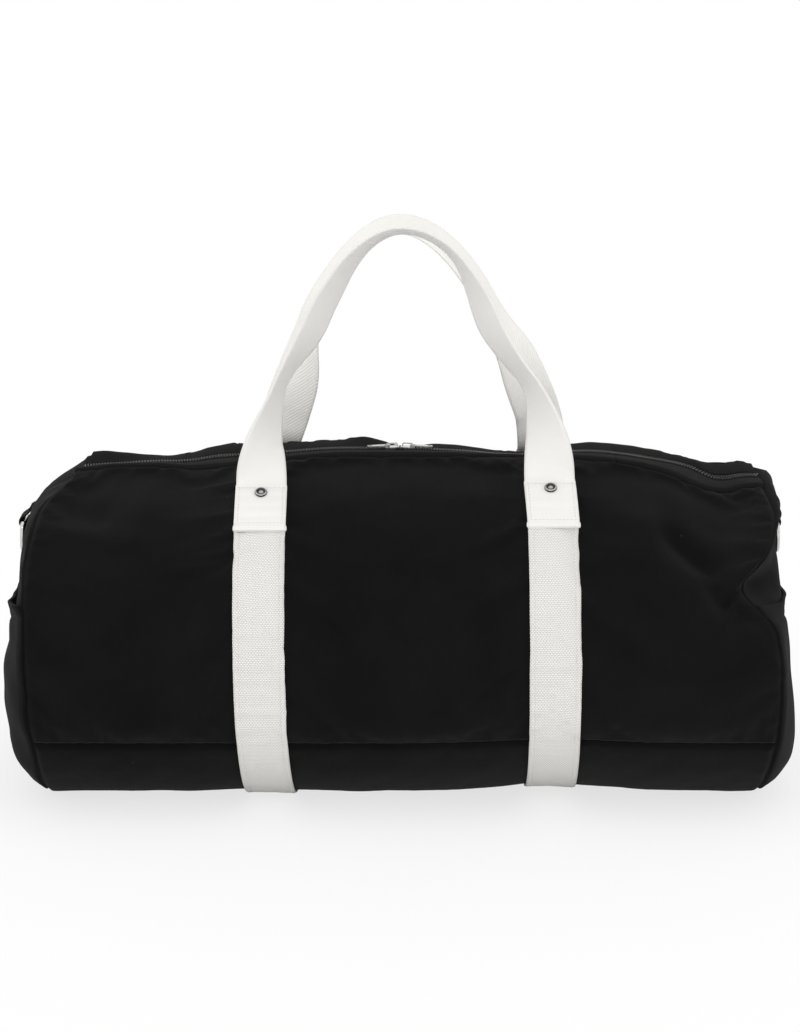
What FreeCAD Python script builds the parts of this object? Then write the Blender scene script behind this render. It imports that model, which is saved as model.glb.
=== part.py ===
import FreeCAD, Part
import math
import os
import Sketcher

# Driving sizes of the bag, lengths in millimetres and angles in degrees.
# The barrel's height adds up: base corners, straight side, then the round top.
SIZES = [
    ("barrel_length", 560),
    ("barrel_depth", 280),
    ("side_rise", 28),
    ("base_radius", 90),
    ("base_seam_rise", 56),
    ("end_tilt", 3),
    ("end_bulge", 12),
    ("pocket_bulge", 27),
    ("pocket_mouth", 150),
    ("canvas_thick", 2),
    ("sew_gap", 0.2),
    ("run_gap", 0.3),
    ("zip_panel_width", 47),
    ("shoulder_sag", 7),
    ("sag_angle", 56),
    ("sag_start", 2),
    ("sag_run", 87),
    ("zip_end_reach", 40),
    ("zip_angle", 3.5),
    ("lip_thick", 1.6),
    ("tape_thick", 0.6),
    ("coil_size", 2.4),
    ("coil_slot", 1),
    ("slider_length", 11),
    ("slider_plate", 0.9),
    ("pull_length", 17),
    ("pull_width", 5),
    ("pull_thick", 1.2),
    ("webbing_width", 38),
    ("webbing_thick", 2),
    ("strap_spacing", 214),
    ("handle_angle", 26),
    ("handle_end_length", 45),
    ("handle_rise", 172),
    ("handle_arch", 52),
    ("handle_bow", 14.5),
    ("handle_gap", 2),
    ("rivet_head", 9.3),
    ("rivet_post", 3),
    ("rivet_setback", 11),
    ("ring_wire", 4),
    ("ring_width", 31),
    ("ring_drop", 24),
    ("tab_thick", 2),
]

# Shares that shape curved pieces, each of the size named beside it.
DOME_INSET_SHARES = (0.0, 0.15, 0.5, 0.92)
DOME_BULGE_SHARES = (0.0, 0.5, 0.84, 1.0)
BEAD_SHARE = 0.6
SLOT_SHARE = 1.45
HEM_SHARE = 0.2
HEM_THICK_SHARE = 0.8
DOME_RIM_SHARE = 0.12
DOME_TOP_SHARE = 0.27
BACK_CAP_SHARE = 0.95
BACK_THICK_SHARE = 0.35
NOSE_SHARE = 0.8
NOSE_CUT_SHARE = 0.25
POST_SHARE = 0.35
POST_START_SHARE = 0.1
POST_END_SHARE = 0.4
CROWN_START_SHARE = 0.11
CROWN_END_SHARE = 0.89
CROWN_HEIGHT_SHARE = 0.6
CROWN_WIDTH_SHARE = 0.36
BAR_SHARE = 0.14
WINDOW_SHARE = 0.2
PULL_HOLE_SHARE = 0.24
RING_CORNER_SHARE = 0.1
TAB_LENGTH_SHARE = 0.5
TAB_SEAT_SHARE = 0.05
TWIST_EASE_POWER = 2
SEAM_SAG_SHARE = 0.4
BOW_CREST = 3 * math.sqrt(3) / 4
SETTLE_SHARE = 0.8
SECTIONS_PER_LEG = 7
SECTIONS_PER_ARCH = 8
DEGREES_PER_RADIAN = 180 / math.pi

doc = FreeCAD.newDocument("barrel_bag")
sheet = doc.addObject("Spreadsheet::Sheet", "Sizes")
for row, (alias, value) in enumerate(SIZES, start=1):
    sheet.set("A%d" % row, alias)
    sheet.set("B%d" % row, str(value))
    sheet.setAlias("B%d" % row, alias)
doc.recompute()

V = FreeCAD.Vector


class Size:
    """A number together with the spreadsheet expression it comes from."""

    def __init__(self, number, text):
        self.number = float(number)
        self.text = text

    def __add__(self, other):
        other = as_size(other)
        return Size(self.number + other.number, "(%s + %s)" % (self.text, other.text))

    def __sub__(self, other):
        other = as_size(other)
        return Size(self.number - other.number, "(%s - %s)" % (self.text, other.text))

    def __mul__(self, other):
        other = as_size(other)
        return Size(self.number * other.number, "(%s * %s)" % (self.text, other.text))

    def __truediv__(self, other):
        other = as_size(other)
        return Size(self.number / other.number, "(%s / %s)" % (self.text, other.text))

    def __neg__(self):
        return Size(-self.number, "(0 - %s)" % self.text)

    __radd__ = __add__
    __rmul__ = __mul__


def as_size(value):
    if isinstance(value, Size):
        return value
    return Size(value, "%.9f" % value)


def cell(alias):
    return Size(sheet.get(alias), "Sizes." + alias)


def sine(angle):
    return Size(math.sin(math.radians(angle.number)), "sin(%s)" % angle.text)


def cosine(angle):
    return Size(math.cos(math.radians(angle.number)), "cos(%s)" % angle.text)


def tangent(angle):
    return Size(math.tan(math.radians(angle.number)), "tan(%s)" % angle.text)


def root(value):
    return Size(math.sqrt(value.number), "sqrt(%s)" % value.text)


ZERO = as_size(0)


def body(name):
    return doc.addObject("PartDesign::Body", name)


def sketch_on(owner, role, offset=None):
    plane = [item for item in owner.Origin.OriginFeatures if item.Role == role][0]
    sketch = owner.newObject("Sketcher::SketchObject", owner.Name + "_sketch")
    sketch.AttachmentSupport = [(plane, "")]
    sketch.MapMode = "FlatFace"
    if offset is not None:
        sketch.AttachmentOffset = FreeCAD.Placement(V(0, 0, offset.number), FreeCAD.Rotation())
        sketch.setExpression("AttachmentOffset.Base.z", offset.text)
    return sketch


def bind(sketch, constraint, value):
    index = sketch.addConstraint(constraint)
    if "Sizes" in value.text:
        sketch.setExpression("Constraints[%d]" % index, value.text)


def profile(sketch, corners, arcs=None):
    """Draw a closed outline; arcs gives an edge's centre, radius and whether it turns left."""
    arcs = arcs or {}
    first = sketch.GeometryCount
    count = len(corners)
    ends = []
    for edge in range(count):
        start = V(corners[edge][0].number, corners[edge][1].number, 0)
        close = corners[(edge + 1) % count]
        end = V(close[0].number, close[1].number, 0)
        if edge not in arcs:
            sketch.addGeometry(Part.LineSegment(start, end))
            ends.append((1, 2))
            continue
        centre_x, centre_y, radius, left = arcs[edge]
        centre = V(centre_x.number, centre_y.number, 0)
        circle = Part.Circle(centre, V(0, 0, 1), radius.number)
        begin = math.atan2(start.y - centre.y, start.x - centre.x)
        finish = math.atan2(end.y - centre.y, end.x - centre.x)
        if not left:
            begin, finish = finish, begin
        if finish < begin:
            finish += 2 * math.pi
        sketch.addGeometry(Part.ArcOfCircle(circle, begin, finish))
        ends.append((1, 2) if left else (2, 1))
    for edge in range(count):
        after = (edge + 1) % count
        sketch.addConstraint(
            Sketcher.Constraint("Coincident", first + edge, ends[edge][1], first + after, ends[after][0])
        )
    for edge in range(count):
        x, y = corners[edge]
        point = ends[edge][0]
        bind(sketch, Sketcher.Constraint("DistanceX", -1, 1, first + edge, point, x.number), x)
        bind(sketch, Sketcher.Constraint("DistanceY", -1, 1, first + edge, point, y.number), y)
    for edge in arcs:
        radius = arcs[edge][2]
        bind(sketch, Sketcher.Constraint("Radius", first + edge, radius.number), radius)


def ring(sketch, x, y, radius):
    index = sketch.GeometryCount
    sketch.addGeometry(Part.Circle(V(x.number, y.number, 0), V(0, 0, 1), radius.number))
    bind(sketch, Sketcher.Constraint("DistanceX", -1, 1, index, 3, x.number), x)
    bind(sketch, Sketcher.Constraint("DistanceY", -1, 1, index, 3, y.number), y)
    bind(sketch, Sketcher.Constraint("Radius", index, radius.number), radius)


def pad(owner, sketch, length, both=True):
    feature = owner.newObject("PartDesign::Pad", owner.Name + "_pad")
    feature.Profile = sketch
    feature.SideType = "Symmetric" if both else "One side"
    feature.setExpression("Length", length.text)
    return feature


def pocket(owner, sketch):
    feature = owner.newObject("PartDesign::Pocket", owner.Name + "_pocket")
    feature.Profile = sketch
    feature.Type = "ThroughAll"
    feature.SideType = "Symmetric"
    return feature


def loft(owner, kind, sketches):
    feature = owner.newObject("PartDesign::" + kind, owner.Name + "_loft")
    feature.Profile = sketches[0]
    feature.Sections = sketches[1:]
    feature.Ruled = True
    return feature


def spin(owner, sketch):
    feature = owner.newObject("PartDesign::Revolution", owner.Name + "_turn")
    feature.Profile = sketch
    feature.ReferenceAxis = (sketch, ["V_Axis"])
    feature.Angle = 360
    return feature


def place(item, x, y, z, axis=None, angle=None):
    turn = FreeCAD.Rotation()
    if axis is not None:
        turn = FreeCAD.Rotation(axis, angle.number)
    item.Placement = FreeCAD.Placement(V(x.number, y.number, z.number), turn)
    item.setExpression("Placement.Base.x", x.text)
    item.setExpression("Placement.Base.y", y.text)
    item.setExpression("Placement.Base.z", z.text)
    if axis is not None:
        item.setExpression("Placement.Rotation.Angle", angle.text)
    return item


def box(name, low, high):
    item = doc.addObject("Part::Box", name)
    for side, a, b in zip(("Length", "Width", "Height"), low, high):
        item.setExpression(side, (b - a).text)
    return place(item, low[0], low[1], low[2])


def combine(kind, name, base, tool):
    item = doc.addObject("Part::" + kind, name)
    item.Base = base
    item.Tool = tool
    return item


def group(name, members):
    item = doc.addObject("Part::Compound", name)
    item.Links = members
    return item


def mirror(name, source, normal):
    item = doc.addObject("Part::Mirroring", name)
    item.Source = source
    item.Normal = normal
    item.Base = V(0, 0, 0)
    return item


ACROSS = V(1, 0, 0)
THROUGH = V(0, 1, 0)
NODES = []


def keep(item, node):
    item.Label = node
    NODES.append(item)
    return item


barrel_length = cell("barrel_length")
barrel_depth = cell("barrel_depth")
base_radius = cell("base_radius")
end_tilt = cell("end_tilt")
canvas = cell("canvas_thick")
sew_gap = cell("sew_gap")
run_gap = cell("run_gap")
webbing_width = cell("webbing_width")
webbing_thick = cell("webbing_thick")

half_depth = barrel_depth / 2
barrel_height = base_radius + cell("side_rise") + half_depth
lift = webbing_thick + sew_gap
arc_z = lift + barrel_height - half_depth
low_z = lift + base_radius
low_y = half_depth - base_radius
top_z = lift + barrel_height
mid_z = lift + barrel_height / 2
strap_x = cell("strap_spacing") / 2


def outline(sketch, offset):
    """The barrel's cross-section moved outward by offset: flat base, round corners, round top."""
    radius = half_depth + offset
    corner = base_radius + offset
    corners = [
        (-low_y, lift - offset),
        (low_y, lift - offset),
        (radius, low_z),
        (radius, arc_z),
        (ZERO, arc_z + radius),
        (-radius, arc_z),
        (-radius, low_z),
    ]
    arcs = {
        1: (low_y, low_z, corner, True),
        3: (ZERO, arc_z, radius, True),
        4: (ZERO, arc_z, radius, True),
        6: (-low_y, low_z, corner, True),
    }
    profile(sketch, corners, arcs)


def end_wedge(sketch, side):
    """The region beyond an end seam, whose plane leans inward at the top."""
    low = lift - base_radius
    high = top_z + base_radius
    lean = tangent(end_tilt)
    near_low = barrel_length / 2 + (mid_z - low) * lean
    near_high = barrel_length / 2 - (high - mid_z) * lean
    far = barrel_length
    corners = [
        (near_low * side, low),
        (far * side, low),
        (far * side, high),
        (near_high * side, high),
    ]
    profile(sketch, corners)


# The canvas barrel, trimmed at both leaning end seams, then cut into its panels.
barrel = body("barrel")
barrel_sketch = sketch_on(barrel, "YZ_Plane")
outline(barrel_sketch, ZERO)
outline(barrel_sketch, -canvas)
pad(barrel, barrel_sketch, barrel_length + barrel_height)
for side in (1, -1):
    wedge = sketch_on(barrel, "XZ_Plane")
    end_wedge(wedge, side)
    pocket(barrel, wedge)

base_seam = lift + cell("base_seam_rise")
zip_half = cell("zip_panel_width") / 2
base_block = box(
    "base_block",
    (-barrel_length, -barrel_depth, -base_radius),
    (barrel_length, barrel_depth, base_seam - sew_gap / 2),
)
front_block = box(
    "front_block",
    (-barrel_length, -barrel_depth, base_seam + sew_gap / 2),
    (barrel_length, -zip_half, top_z + base_radius),
)
keep(combine("Common", "base_panel", barrel, base_block), "base_panel")
front_blank = combine("Common", "front_blank", barrel, front_block)

# Rivet bores run square to the barrel through panel, strap and handle end.
handle_angle = cell("handle_angle")
rivet_post = cell("rivet_post")
rivet_angle = handle_angle + cell("rivet_setback") / half_depth * DEGREES_PER_RADIAN
bore_start = half_depth - canvas * 4
bore_span = canvas * 8 + webbing_thick * 4


def bore(name, x):
    item = doc.addObject("Part::Cylinder", name)
    item.setExpression("Radius", (rivet_post / 2 + sew_gap / 2).text)
    item.setExpression("Height", bore_span.text)
    y = -(bore_start * sine(rivet_angle))
    z = arc_z + bore_start * cosine(rivet_angle)
    return place(item, x, y, z, V(1, 0, 0), rivet_angle)


right_bore = bore("right_bore", strap_x)
left_bore = bore("left_bore", -strap_x)
front_bores = group("front_bores", [right_bore, left_bore])
back_right_bore = mirror("back_right_bore", right_bore, THROUGH)
right_bores = group("right_bores", [right_bore, back_right_bore])

# Beyond each strap the shoulders of the front and back have sagged towards the ends.
sag_edge = strap_x + webbing_width / 2 + cell("sag_start")
sag_low = sag_edge + cell("sag_run")
seam_lean = math.tan(math.radians(end_tilt.number))


def shoulder(offset, sag, place):
    """Points of the upper front canvas from the side up to the zip seam, placed along the bag by height."""
    radius = half_depth.number + offset
    seam_angle = math.asin(zip_half.number / radius)
    side_angle = math.pi / 2
    low_angle = math.radians(cell("sag_angle").number)
    course = (
        (side_angle, 0),
        ((side_angle + low_angle) / 2, 0),
        (low_angle, 0),
        ((low_angle + seam_angle) / 2, sag),
        (seam_angle, 0),
    )
    points = []
    for angle, drop in course:
        z = arc_z.number + (radius - drop) * math.cos(angle)
        points.append(V(place(z), -(radius - drop) * math.sin(angle), z))
    return points


def sag_wire(sag, place):
    """The closed cross-section of the shoulder's canvas at one place along the bag."""
    outer = shoulder(0, sag, place)
    inner = shoulder(-canvas.number, sag, place)
    edges = [
        Part.Arc(outer[0], outer[1], outer[2]).toShape(),
        Part.Arc(outer[2], outer[3], outer[4]).toShape(),
        Part.makeLine(outer[4], inner[4]),
        Part.Arc(inner[4], inner[3], inner[2]).toShape(),
        Part.Arc(inner[2], inner[1], inner[0]).toShape(),
        Part.makeLine(inner[0], outer[0]),
    ]
    return Part.Wire(edges)


def at_edge(z):
    return sag_edge.number


def at_low(z):
    return sag_low.number


def at_seam(z):
    return barrel_length.number / 2 - (z - mid_z.number) * seam_lean


full_sag = cell("shoulder_sag").number
sag_wires = [
    sag_wire(0, at_edge),
    sag_wire(full_sag, at_low),
    sag_wire(full_sag * SEAM_SAG_SHARE, at_seam),
]
right_bay = doc.addObject("Part::Feature", "right_bay")
right_bay.Shape = Part.makeLoft(sag_wires, True, True)
left_bay = mirror("left_bay", right_bay, ACROSS)
right_room = box(
    "right_room",
    (sag_edge, -barrel_depth, arc_z),
    (barrel_length, ZERO, top_z + base_radius),
)
left_room = mirror("left_room", right_room, ACROSS)
rooms = group("rooms", [right_room, left_room])
front_middle = combine("Cut", "front_middle", front_blank, rooms)
front_sagged = doc.addObject("Part::MultiFuse", "front_sagged")
front_sagged.Shapes = [front_middle, right_bay, left_bay]
front_sagged.Refine = True
front_panel = keep(combine("Cut", "front_panel", front_sagged, front_bores), "front_panel")
keep(mirror("back_panel", front_panel, THROUGH), "back_panel")

# Each webbing strap wraps the barrel from one handle stitch line under the base to the other.
strap = body("strap")
strap_sketch = sketch_on(strap, "YZ_Plane")
outline(strap_sketch, sew_gap + webbing_thick)
outline(strap_sketch, sew_gap)
pad(strap, strap_sketch, webbing_width)
strap_open = sketch_on(strap, "YZ_Plane")
open_top = arc_z + barrel_depth
open_half = barrel_depth * tangent(handle_angle)
profile(strap_open, [(ZERO, arc_z), (open_half, open_top), (-open_half, open_top)])
pocket(strap, strap_open)
place(strap, strap_x, ZERO, ZERO)
right_strap = keep(combine("Cut", "right_body_strap", strap, right_bores), "right_body_strap")
keep(mirror("left_body_strap", right_strap, ACROSS), "left_body_strap")

# Sewn handle ends: a second webbing layer over the strap with a folded hem at its lower edge.
end_inner = half_depth + sew_gap * 2 + webbing_thick
end_outer = end_inner + webbing_thick
end_angle = handle_angle + cell("handle_end_length") / half_depth * DEGREES_PER_RADIAN
hem_angle = end_angle - (end_angle - handle_angle) * HEM_SHARE


def sector(sketch, inner, outer, start, finish):
    def point(radius, angle):
        return (-(radius * sine(angle)), arc_z + radius * cosine(angle))

    corners = [point(inner, start), point(outer, start), point(outer, finish), point(inner, finish)]
    arcs = {1: (ZERO, arc_z, outer, True), 3: (ZERO, arc_z, inner, False)}
    profile(sketch, corners, arcs)


handle_end = body("handle_end")
end_sketch = sketch_on(handle_end, "YZ_Plane")
sector(end_sketch, end_inner, end_outer, handle_angle, end_angle)
pad(handle_end, end_sketch, webbing_width)
hem_sketch = sketch_on(handle_end, "YZ_Plane")
sector(hem_sketch, end_inner, end_outer + webbing_thick * HEM_THICK_SHARE, hem_angle, end_angle)
pad(handle_end, hem_sketch, webbing_width)
place(handle_end, strap_x, ZERO, ZERO)
right_handle_end = combine("Cut", "right_handle_end", handle_end, right_bore)
left_handle_end = mirror("left_handle_end", right_handle_end, ACROSS)
front_ends = group("front_handle_ends", [right_handle_end, left_handle_end])
keep(front_ends, "front_handle_ends")
keep(mirror("back_handle_ends", front_ends, THROUGH), "back_handle_ends")

# Double-cap rivets: domed head and post outside, a flat cap inside.
rivet_head = cell("rivet_head")
head_seat = end_outer + sew_gap
back_seat = half_depth - canvas - sew_gap
back_thick = rivet_post * BACK_THICK_SHARE
head_radius = rivet_head / 2
post_radius = rivet_post / 2
rim = rivet_head * DOME_RIM_SHARE
crest = rivet_head * DOME_TOP_SHARE
rise = crest - rim
dome_radius = (rise * rise + head_radius * head_radius) / (rise * 2)
post_end = back_seat - back_thick - head_seat

rivet = body("rivet")
rivet_sketch = sketch_on(rivet, "XZ_Plane")
profile(
    rivet_sketch,
    [
        (ZERO, post_end),
        (post_radius, post_end),
        (post_radius, ZERO),
        (head_radius, ZERO),
        (head_radius, rim),
        (ZERO, crest),
    ],
    {4: (ZERO, crest - dome_radius, dome_radius, True)},
)
spin(rivet, rivet_sketch)

back_cap = body("back_cap")
cap_sketch = sketch_on(back_cap, "XZ_Plane")
cap_bore = post_radius + sew_gap / 4
cap_radius = head_radius * BACK_CAP_SHARE
cap_top = back_seat - head_seat
profile(
    cap_sketch,
    [(cap_bore, post_end), (cap_radius, post_end), (cap_radius, cap_top), (cap_bore, cap_top)],
)
spin(back_cap, cap_sketch)
for item in (rivet, back_cap):
    seat_y = -(head_seat * sine(rivet_angle))
    seat_z = arc_z + head_seat * cosine(rivet_angle)
    place(item, strap_x, seat_y, seat_z, V(1, 0, 0), rivet_angle)
left_rivet = mirror("left_rivet", rivet, ACROSS)
front_rivets = keep(group("front_rivets", [rivet, left_rivet]), "front_rivets")
keep(mirror("back_rivets", front_rivets, THROUGH), "back_rivets")
left_cap = mirror("left_cap", back_cap, ACROSS)
front_caps = group("front_caps", [back_cap, left_cap])
back_caps = mirror("back_caps", front_caps, THROUGH)
keep(group("rivet_back_caps", [front_caps, back_caps]), "rivet_back_caps")

# End panels and their slip pockets: shallow domes on the leaning seam planes.
end_lean = -end_tilt
end_x = barrel_length / 2 + sew_gap + mid_z * sine(end_tilt)
end_z = mid_z - mid_z * cosine(end_tilt)


def on_end(item):
    return place(item, end_x, ZERO, end_z, V(0, 1, 0), end_lean)


def dome(owner, start, bulge):
    for kind, wall in (("AdditiveLoft", ZERO), ("SubtractiveLoft", canvas)):
        sections = []
        for number, (inset_share, bulge_share) in enumerate(zip(DOME_INSET_SHARES, DOME_BULGE_SHARES)):
            reach = bulge * bulge_share
            if number > 0:
                reach = reach - wall
            sketch = sketch_on(owner, "YZ_Plane", reach)
            outline(sketch, -(start + wall + (base_radius - start) * inset_share))
            sections.append(sketch)
        loft(owner, kind, sections)


end_panel = body("end_panel")
dome(end_panel, canvas + sew_gap, cell("end_bulge"))
on_end(end_panel)
keep(end_panel, "right_end_panel")
keep(mirror("left_end_panel", end_panel, ACROSS), "left_end_panel")

pocket_mouth = lift + cell("pocket_mouth")
end_pocket = body("end_pocket")
dome(end_pocket, ZERO, cell("pocket_bulge"))
mouth_sketch = sketch_on(end_pocket, "XZ_Plane")
profile(
    mouth_sketch,
    [
        (-barrel_length, pocket_mouth),
        (barrel_length, pocket_mouth),
        (barrel_length, top_z + base_radius),
        (-barrel_length, top_z + base_radius),
    ],
)
pocket(end_pocket, mouth_sketch)
on_end(end_pocket)
keep(end_pocket, "right_end_pocket")
keep(mirror("left_end_pocket", end_pocket, ACROSS), "left_end_pocket")

# D-rings hang from short tabs sewn to the end panels.
ring_wire = cell("ring_wire")
ring_width = cell("ring_width")
ring_drop = cell("ring_drop")
tab_thick = cell("tab_thick")
ring_corner = ring_width * RING_CORNER_SHARE
ring_half = ring_width / 2
wire_radius = ring_wire / 2
tab_width = ring_width - ring_corner * 2 - run_gap * 2
eye = wire_radius + run_gap
eye_outer = eye + tab_thick

# The tab lies on the dome band between its third and fourth sections.
dome_start = canvas + sew_gap
dome_scale = base_radius - dome_start
seat_x = cell("end_bulge") * DOME_BULGE_SHARES[2]
seat_top = top_z - dome_start - dome_scale * DOME_INSET_SHARES[2]
seat_run = cell("end_bulge") * (DOME_BULGE_SHARES[3] - DOME_BULGE_SHARES[2])
seat_fall = dome_scale * (DOME_INSET_SHARES[3] - DOME_INSET_SHARES[2])
seat_span = root(seat_run * seat_run + seat_fall * seat_fall)
seat_sine = seat_run / seat_span
seat_cosine = seat_fall / seat_span
tab_length = ring_drop * TAB_LENGTH_SHARE
loop_down = seat_span * TAB_SEAT_SHARE + tab_length


def on_seat(down, out):
    """A point so far down the dome's slope and so far out from it."""
    return (
        seat_x + seat_sine * down + seat_cosine * out,
        seat_top - seat_cosine * down + seat_sine * out,
    )


tab = body("ring_tab")
tab_sketch = sketch_on(tab, "XZ_Plane")
tab_start = loop_down - tab_length
loop_out = run_gap + eye_outer
loop_centre = on_seat(loop_down, loop_out)
tab_corners = [
    on_seat(tab_start, run_gap),
    on_seat(tab_start, run_gap + tab_thick * 2),
    on_seat(loop_down, loop_out + eye_outer),
    on_seat(loop_down + eye_outer, loop_out),
    on_seat(loop_down, run_gap),
]
profile(
    tab_sketch,
    tab_corners,
    {
        2: (loop_centre[0], loop_centre[1], eye_outer, False),
        3: (loop_centre[0], loop_centre[1], eye_outer, False),
    },
)
ring(tab_sketch, loop_centre[0], loop_centre[1], eye)
pad(tab, tab_sketch, tab_width)
on_end(tab)
keep(tab, "right_ring_tab")
keep(mirror("left_ring_tab", tab, ACROSS), "left_ring_tab")

ring_body = body("d_ring")
ring_x = loop_centre[0]
ring_z = loop_centre[1]
spine = sketch_on(ring_body, "YZ_Plane", ring_x)
bar_half = ring_half - ring_corner
bow_z = ring_z - ring_drop + ring_half
profile(
    spine,
    [
        (bar_half, ring_z),
        (-bar_half, ring_z),
        (-ring_half, ring_z - ring_corner),
        (-ring_half, bow_z),
        (ZERO, ring_z - ring_drop),
        (ring_half, bow_z),
        (ring_half, ring_z - ring_corner),
    ],
    {
        1: (-bar_half, ring_z - ring_corner, ring_corner, True),
        3: (ZERO, bow_z, ring_half, True),
        4: (ZERO, bow_z, ring_half, True),
        6: (bar_half, ring_z - ring_corner, ring_corner, True),
    },
)
wire = sketch_on(ring_body, "XZ_Plane", -bar_half)
ring(wire, ring_x, ring_z, wire_radius)
pipe = ring_body.newObject("PartDesign::AdditivePipe", "d_ring_pipe")
pipe.Profile = wire
pipe.Spine = (spine, [])
on_end(ring_body)
keep(ring_body, "right_d_ring")
keep(mirror("left_d_ring", ring_body, ACROSS), "left_d_ring")

# The zip: facing strips hinged at the panel seams, tapes and coils sagging towards both ends.
zip_length = barrel_length - cell("zip_end_reach") * 2
zip_slope = cell("zip_angle")
lip_thick = cell("lip_thick")
tape_thick = cell("tape_thick")
coil_size = cell("coil_size")
coil_half_slot = cell("coil_slot") / 2
slider_plate = cell("slider_plate")
seam_z = arc_z + root(half_depth * half_depth - zip_half * zip_half)
bead = lip_thick * BEAD_SHARE
hinge_y = -(zip_half - run_gap - bead)
hinge_z = seam_z + run_gap
coil_side = coil_half_slot + coil_size
tape_edge = -(coil_side + sew_gap)
slider_half = coil_side + run_gap + slider_plate
lip_edge = -(slider_half * SLOT_SHARE)
layer_drop = (lip_thick + tape_thick) / 2 + sew_gap
chain_z = top_z - lip_thick - layer_drop
zip_half_length = zip_length / 2
chain_fall = zip_half_length * tangent(zip_slope)
stations = (-zip_half_length, ZERO, zip_half_length)
falls = (chain_fall, ZERO, chain_fall)


def slope_z(y, fall):
    """Height of the strip's middle at y, on the straight line from its hinge to the chain."""
    share = (y - hinge_y) / (tape_edge - hinge_y)
    return hinge_z + (chain_z - fall + layer_drop - hinge_z) * share


def plate(sketch, y_out, z_out, y_in, z_in, thick):
    corners = [
        (y_out, z_out - thick / 2),
        (y_in, z_in - thick / 2),
        (y_in, z_in + thick / 2),
        (y_out, z_out + thick / 2),
    ]
    profile(sketch, corners)


lip = body("lip")
tape = body("tape")
coil = body("coil")
lip_sections = []
tape_sections = []
coil_sections = []
tape_out = hinge_y + bead * 2
for station, fall in zip(stations, falls):
    section = sketch_on(lip, "YZ_Plane", station)
    plate(section, hinge_y, hinge_z, lip_edge, slope_z(lip_edge, fall), lip_thick)
    lip_sections.append(section)
    section = sketch_on(tape, "YZ_Plane", station)
    outer_z = slope_z(tape_out, fall) - layer_drop
    plate(section, tape_out, outer_z, tape_edge, chain_z - fall, tape_thick)
    tape_sections.append(section)
    section = sketch_on(coil, "YZ_Plane", station)
    plate(section, -coil_side, chain_z - fall, -coil_half_slot, chain_z - fall, coil_size)
    coil_sections.append(section)
loft(lip, "AdditiveLoft", lip_sections)
bead_sketch = sketch_on(lip, "YZ_Plane")
ring(bead_sketch, hinge_y, hinge_z, bead)
pad(lip, bead_sketch, zip_length)
loft(tape, "AdditiveLoft", tape_sections)
loft(coil, "AdditiveLoft", coil_sections)
keep(lip, "front_zip_strip")
keep(mirror("back_zip_strip", lip, THROUGH), "back_zip_strip")
keep(tape, "front_zip_tape")
keep(mirror("back_zip_tape", tape, THROUGH), "back_zip_tape")
keep(coil, "front_coil")
keep(mirror("back_coil", coil, THROUGH), "back_coil")

# The ends of the zip, folded in and sewn into the end seams.
zip_end = body("zip_end")
fold_sketch = sketch_on(zip_end, "YZ_Plane", zip_half_length + run_gap)
fold_y = zip_half - sew_gap
fold_z = chain_z - chain_fall
profile(
    fold_sketch,
    [
        (-fold_y, seam_z - canvas),
        (ZERO, fold_z - canvas),
        (fold_y, seam_z - canvas),
        (fold_y, seam_z),
        (ZERO, fold_z),
        (-fold_y, seam_z),
    ],
)
pad(zip_end, fold_sketch, barrel_length / 2 - zip_half_length, both=False)
end_cut = sketch_on(zip_end, "XZ_Plane")
end_wedge(end_cut, 1)
pocket(zip_end, end_cut)
keep(zip_end, "right_zip_end")
keep(mirror("left_zip_end", zip_end, ACROSS), "left_zip_end")

# Sliders stand nose to nose in the middle of the chain, each with a crown that holds its pull.
slider_length = cell("slider_length")
pull_length = cell("pull_length")
pull_width = cell("pull_width")
pull_thick = cell("pull_thick")
cavity = coil_size / 2 + run_gap
cavity_side = coil_side + run_gap
tape_slot = tape_thick / 2 + run_gap
nose_x = run_gap
tail_x = nose_x + slider_length
plate_top = cavity + slider_plate


def along(share):
    return nose_x + slider_length * share


def on_chain(item):
    return place(item, ZERO, ZERO, chain_z, V(0, 1, 0), zip_slope)


def slider_plan(sketch):
    nose = slider_half * NOSE_SHARE
    cut = slider_length * NOSE_CUT_SHARE
    profile(
        sketch,
        [
            (nose_x, -nose),
            (nose_x + cut, -slider_half),
            (tail_x, -slider_half),
            (tail_x, slider_half),
            (nose_x + cut, slider_half),
            (nose_x, nose),
        ],
    )


slider = body("slider")
floor_sketch = sketch_on(slider, "XY_Plane", -plate_top)
slider_plan(floor_sketch)
pad(slider, floor_sketch, slider_plate, both=False)
post_sketch = sketch_on(slider, "XY_Plane")
post_half = coil_half_slot * (1 - POST_SHARE)
profile(
    post_sketch,
    [
        (along(POST_START_SHARE), -post_half),
        (along(POST_END_SHARE), -post_half),
        (along(POST_END_SHARE), post_half),
        (along(POST_START_SHARE), post_half),
    ],
)
pad(slider, post_sketch, cavity * 2)
roof_sketch = sketch_on(slider, "XY_Plane", cavity)
slider_plan(roof_sketch)
pad(slider, roof_sketch, slider_plate, both=False)
for level in (-cavity, tape_slot):
    for side in (1, -1):
        flange = sketch_on(slider, "XY_Plane", level)
        profile(
            flange,
            [
                (along(NOSE_CUT_SHARE), cavity_side * side),
                (tail_x, cavity_side * side),
                (tail_x, slider_half * side),
                (along(NOSE_CUT_SHARE), slider_half * side),
            ],
        )
        pad(slider, flange, cavity - tape_slot, both=False)
crown_width = pull_width * CROWN_WIDTH_SHARE
crown_height = pull_width * CROWN_HEIGHT_SHARE
crown_start = along(CROWN_START_SHARE)
crown_end = along(CROWN_END_SHARE)
crown_top = plate_top + crown_height
crown_sketch = sketch_on(slider, "XZ_Plane")
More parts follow.
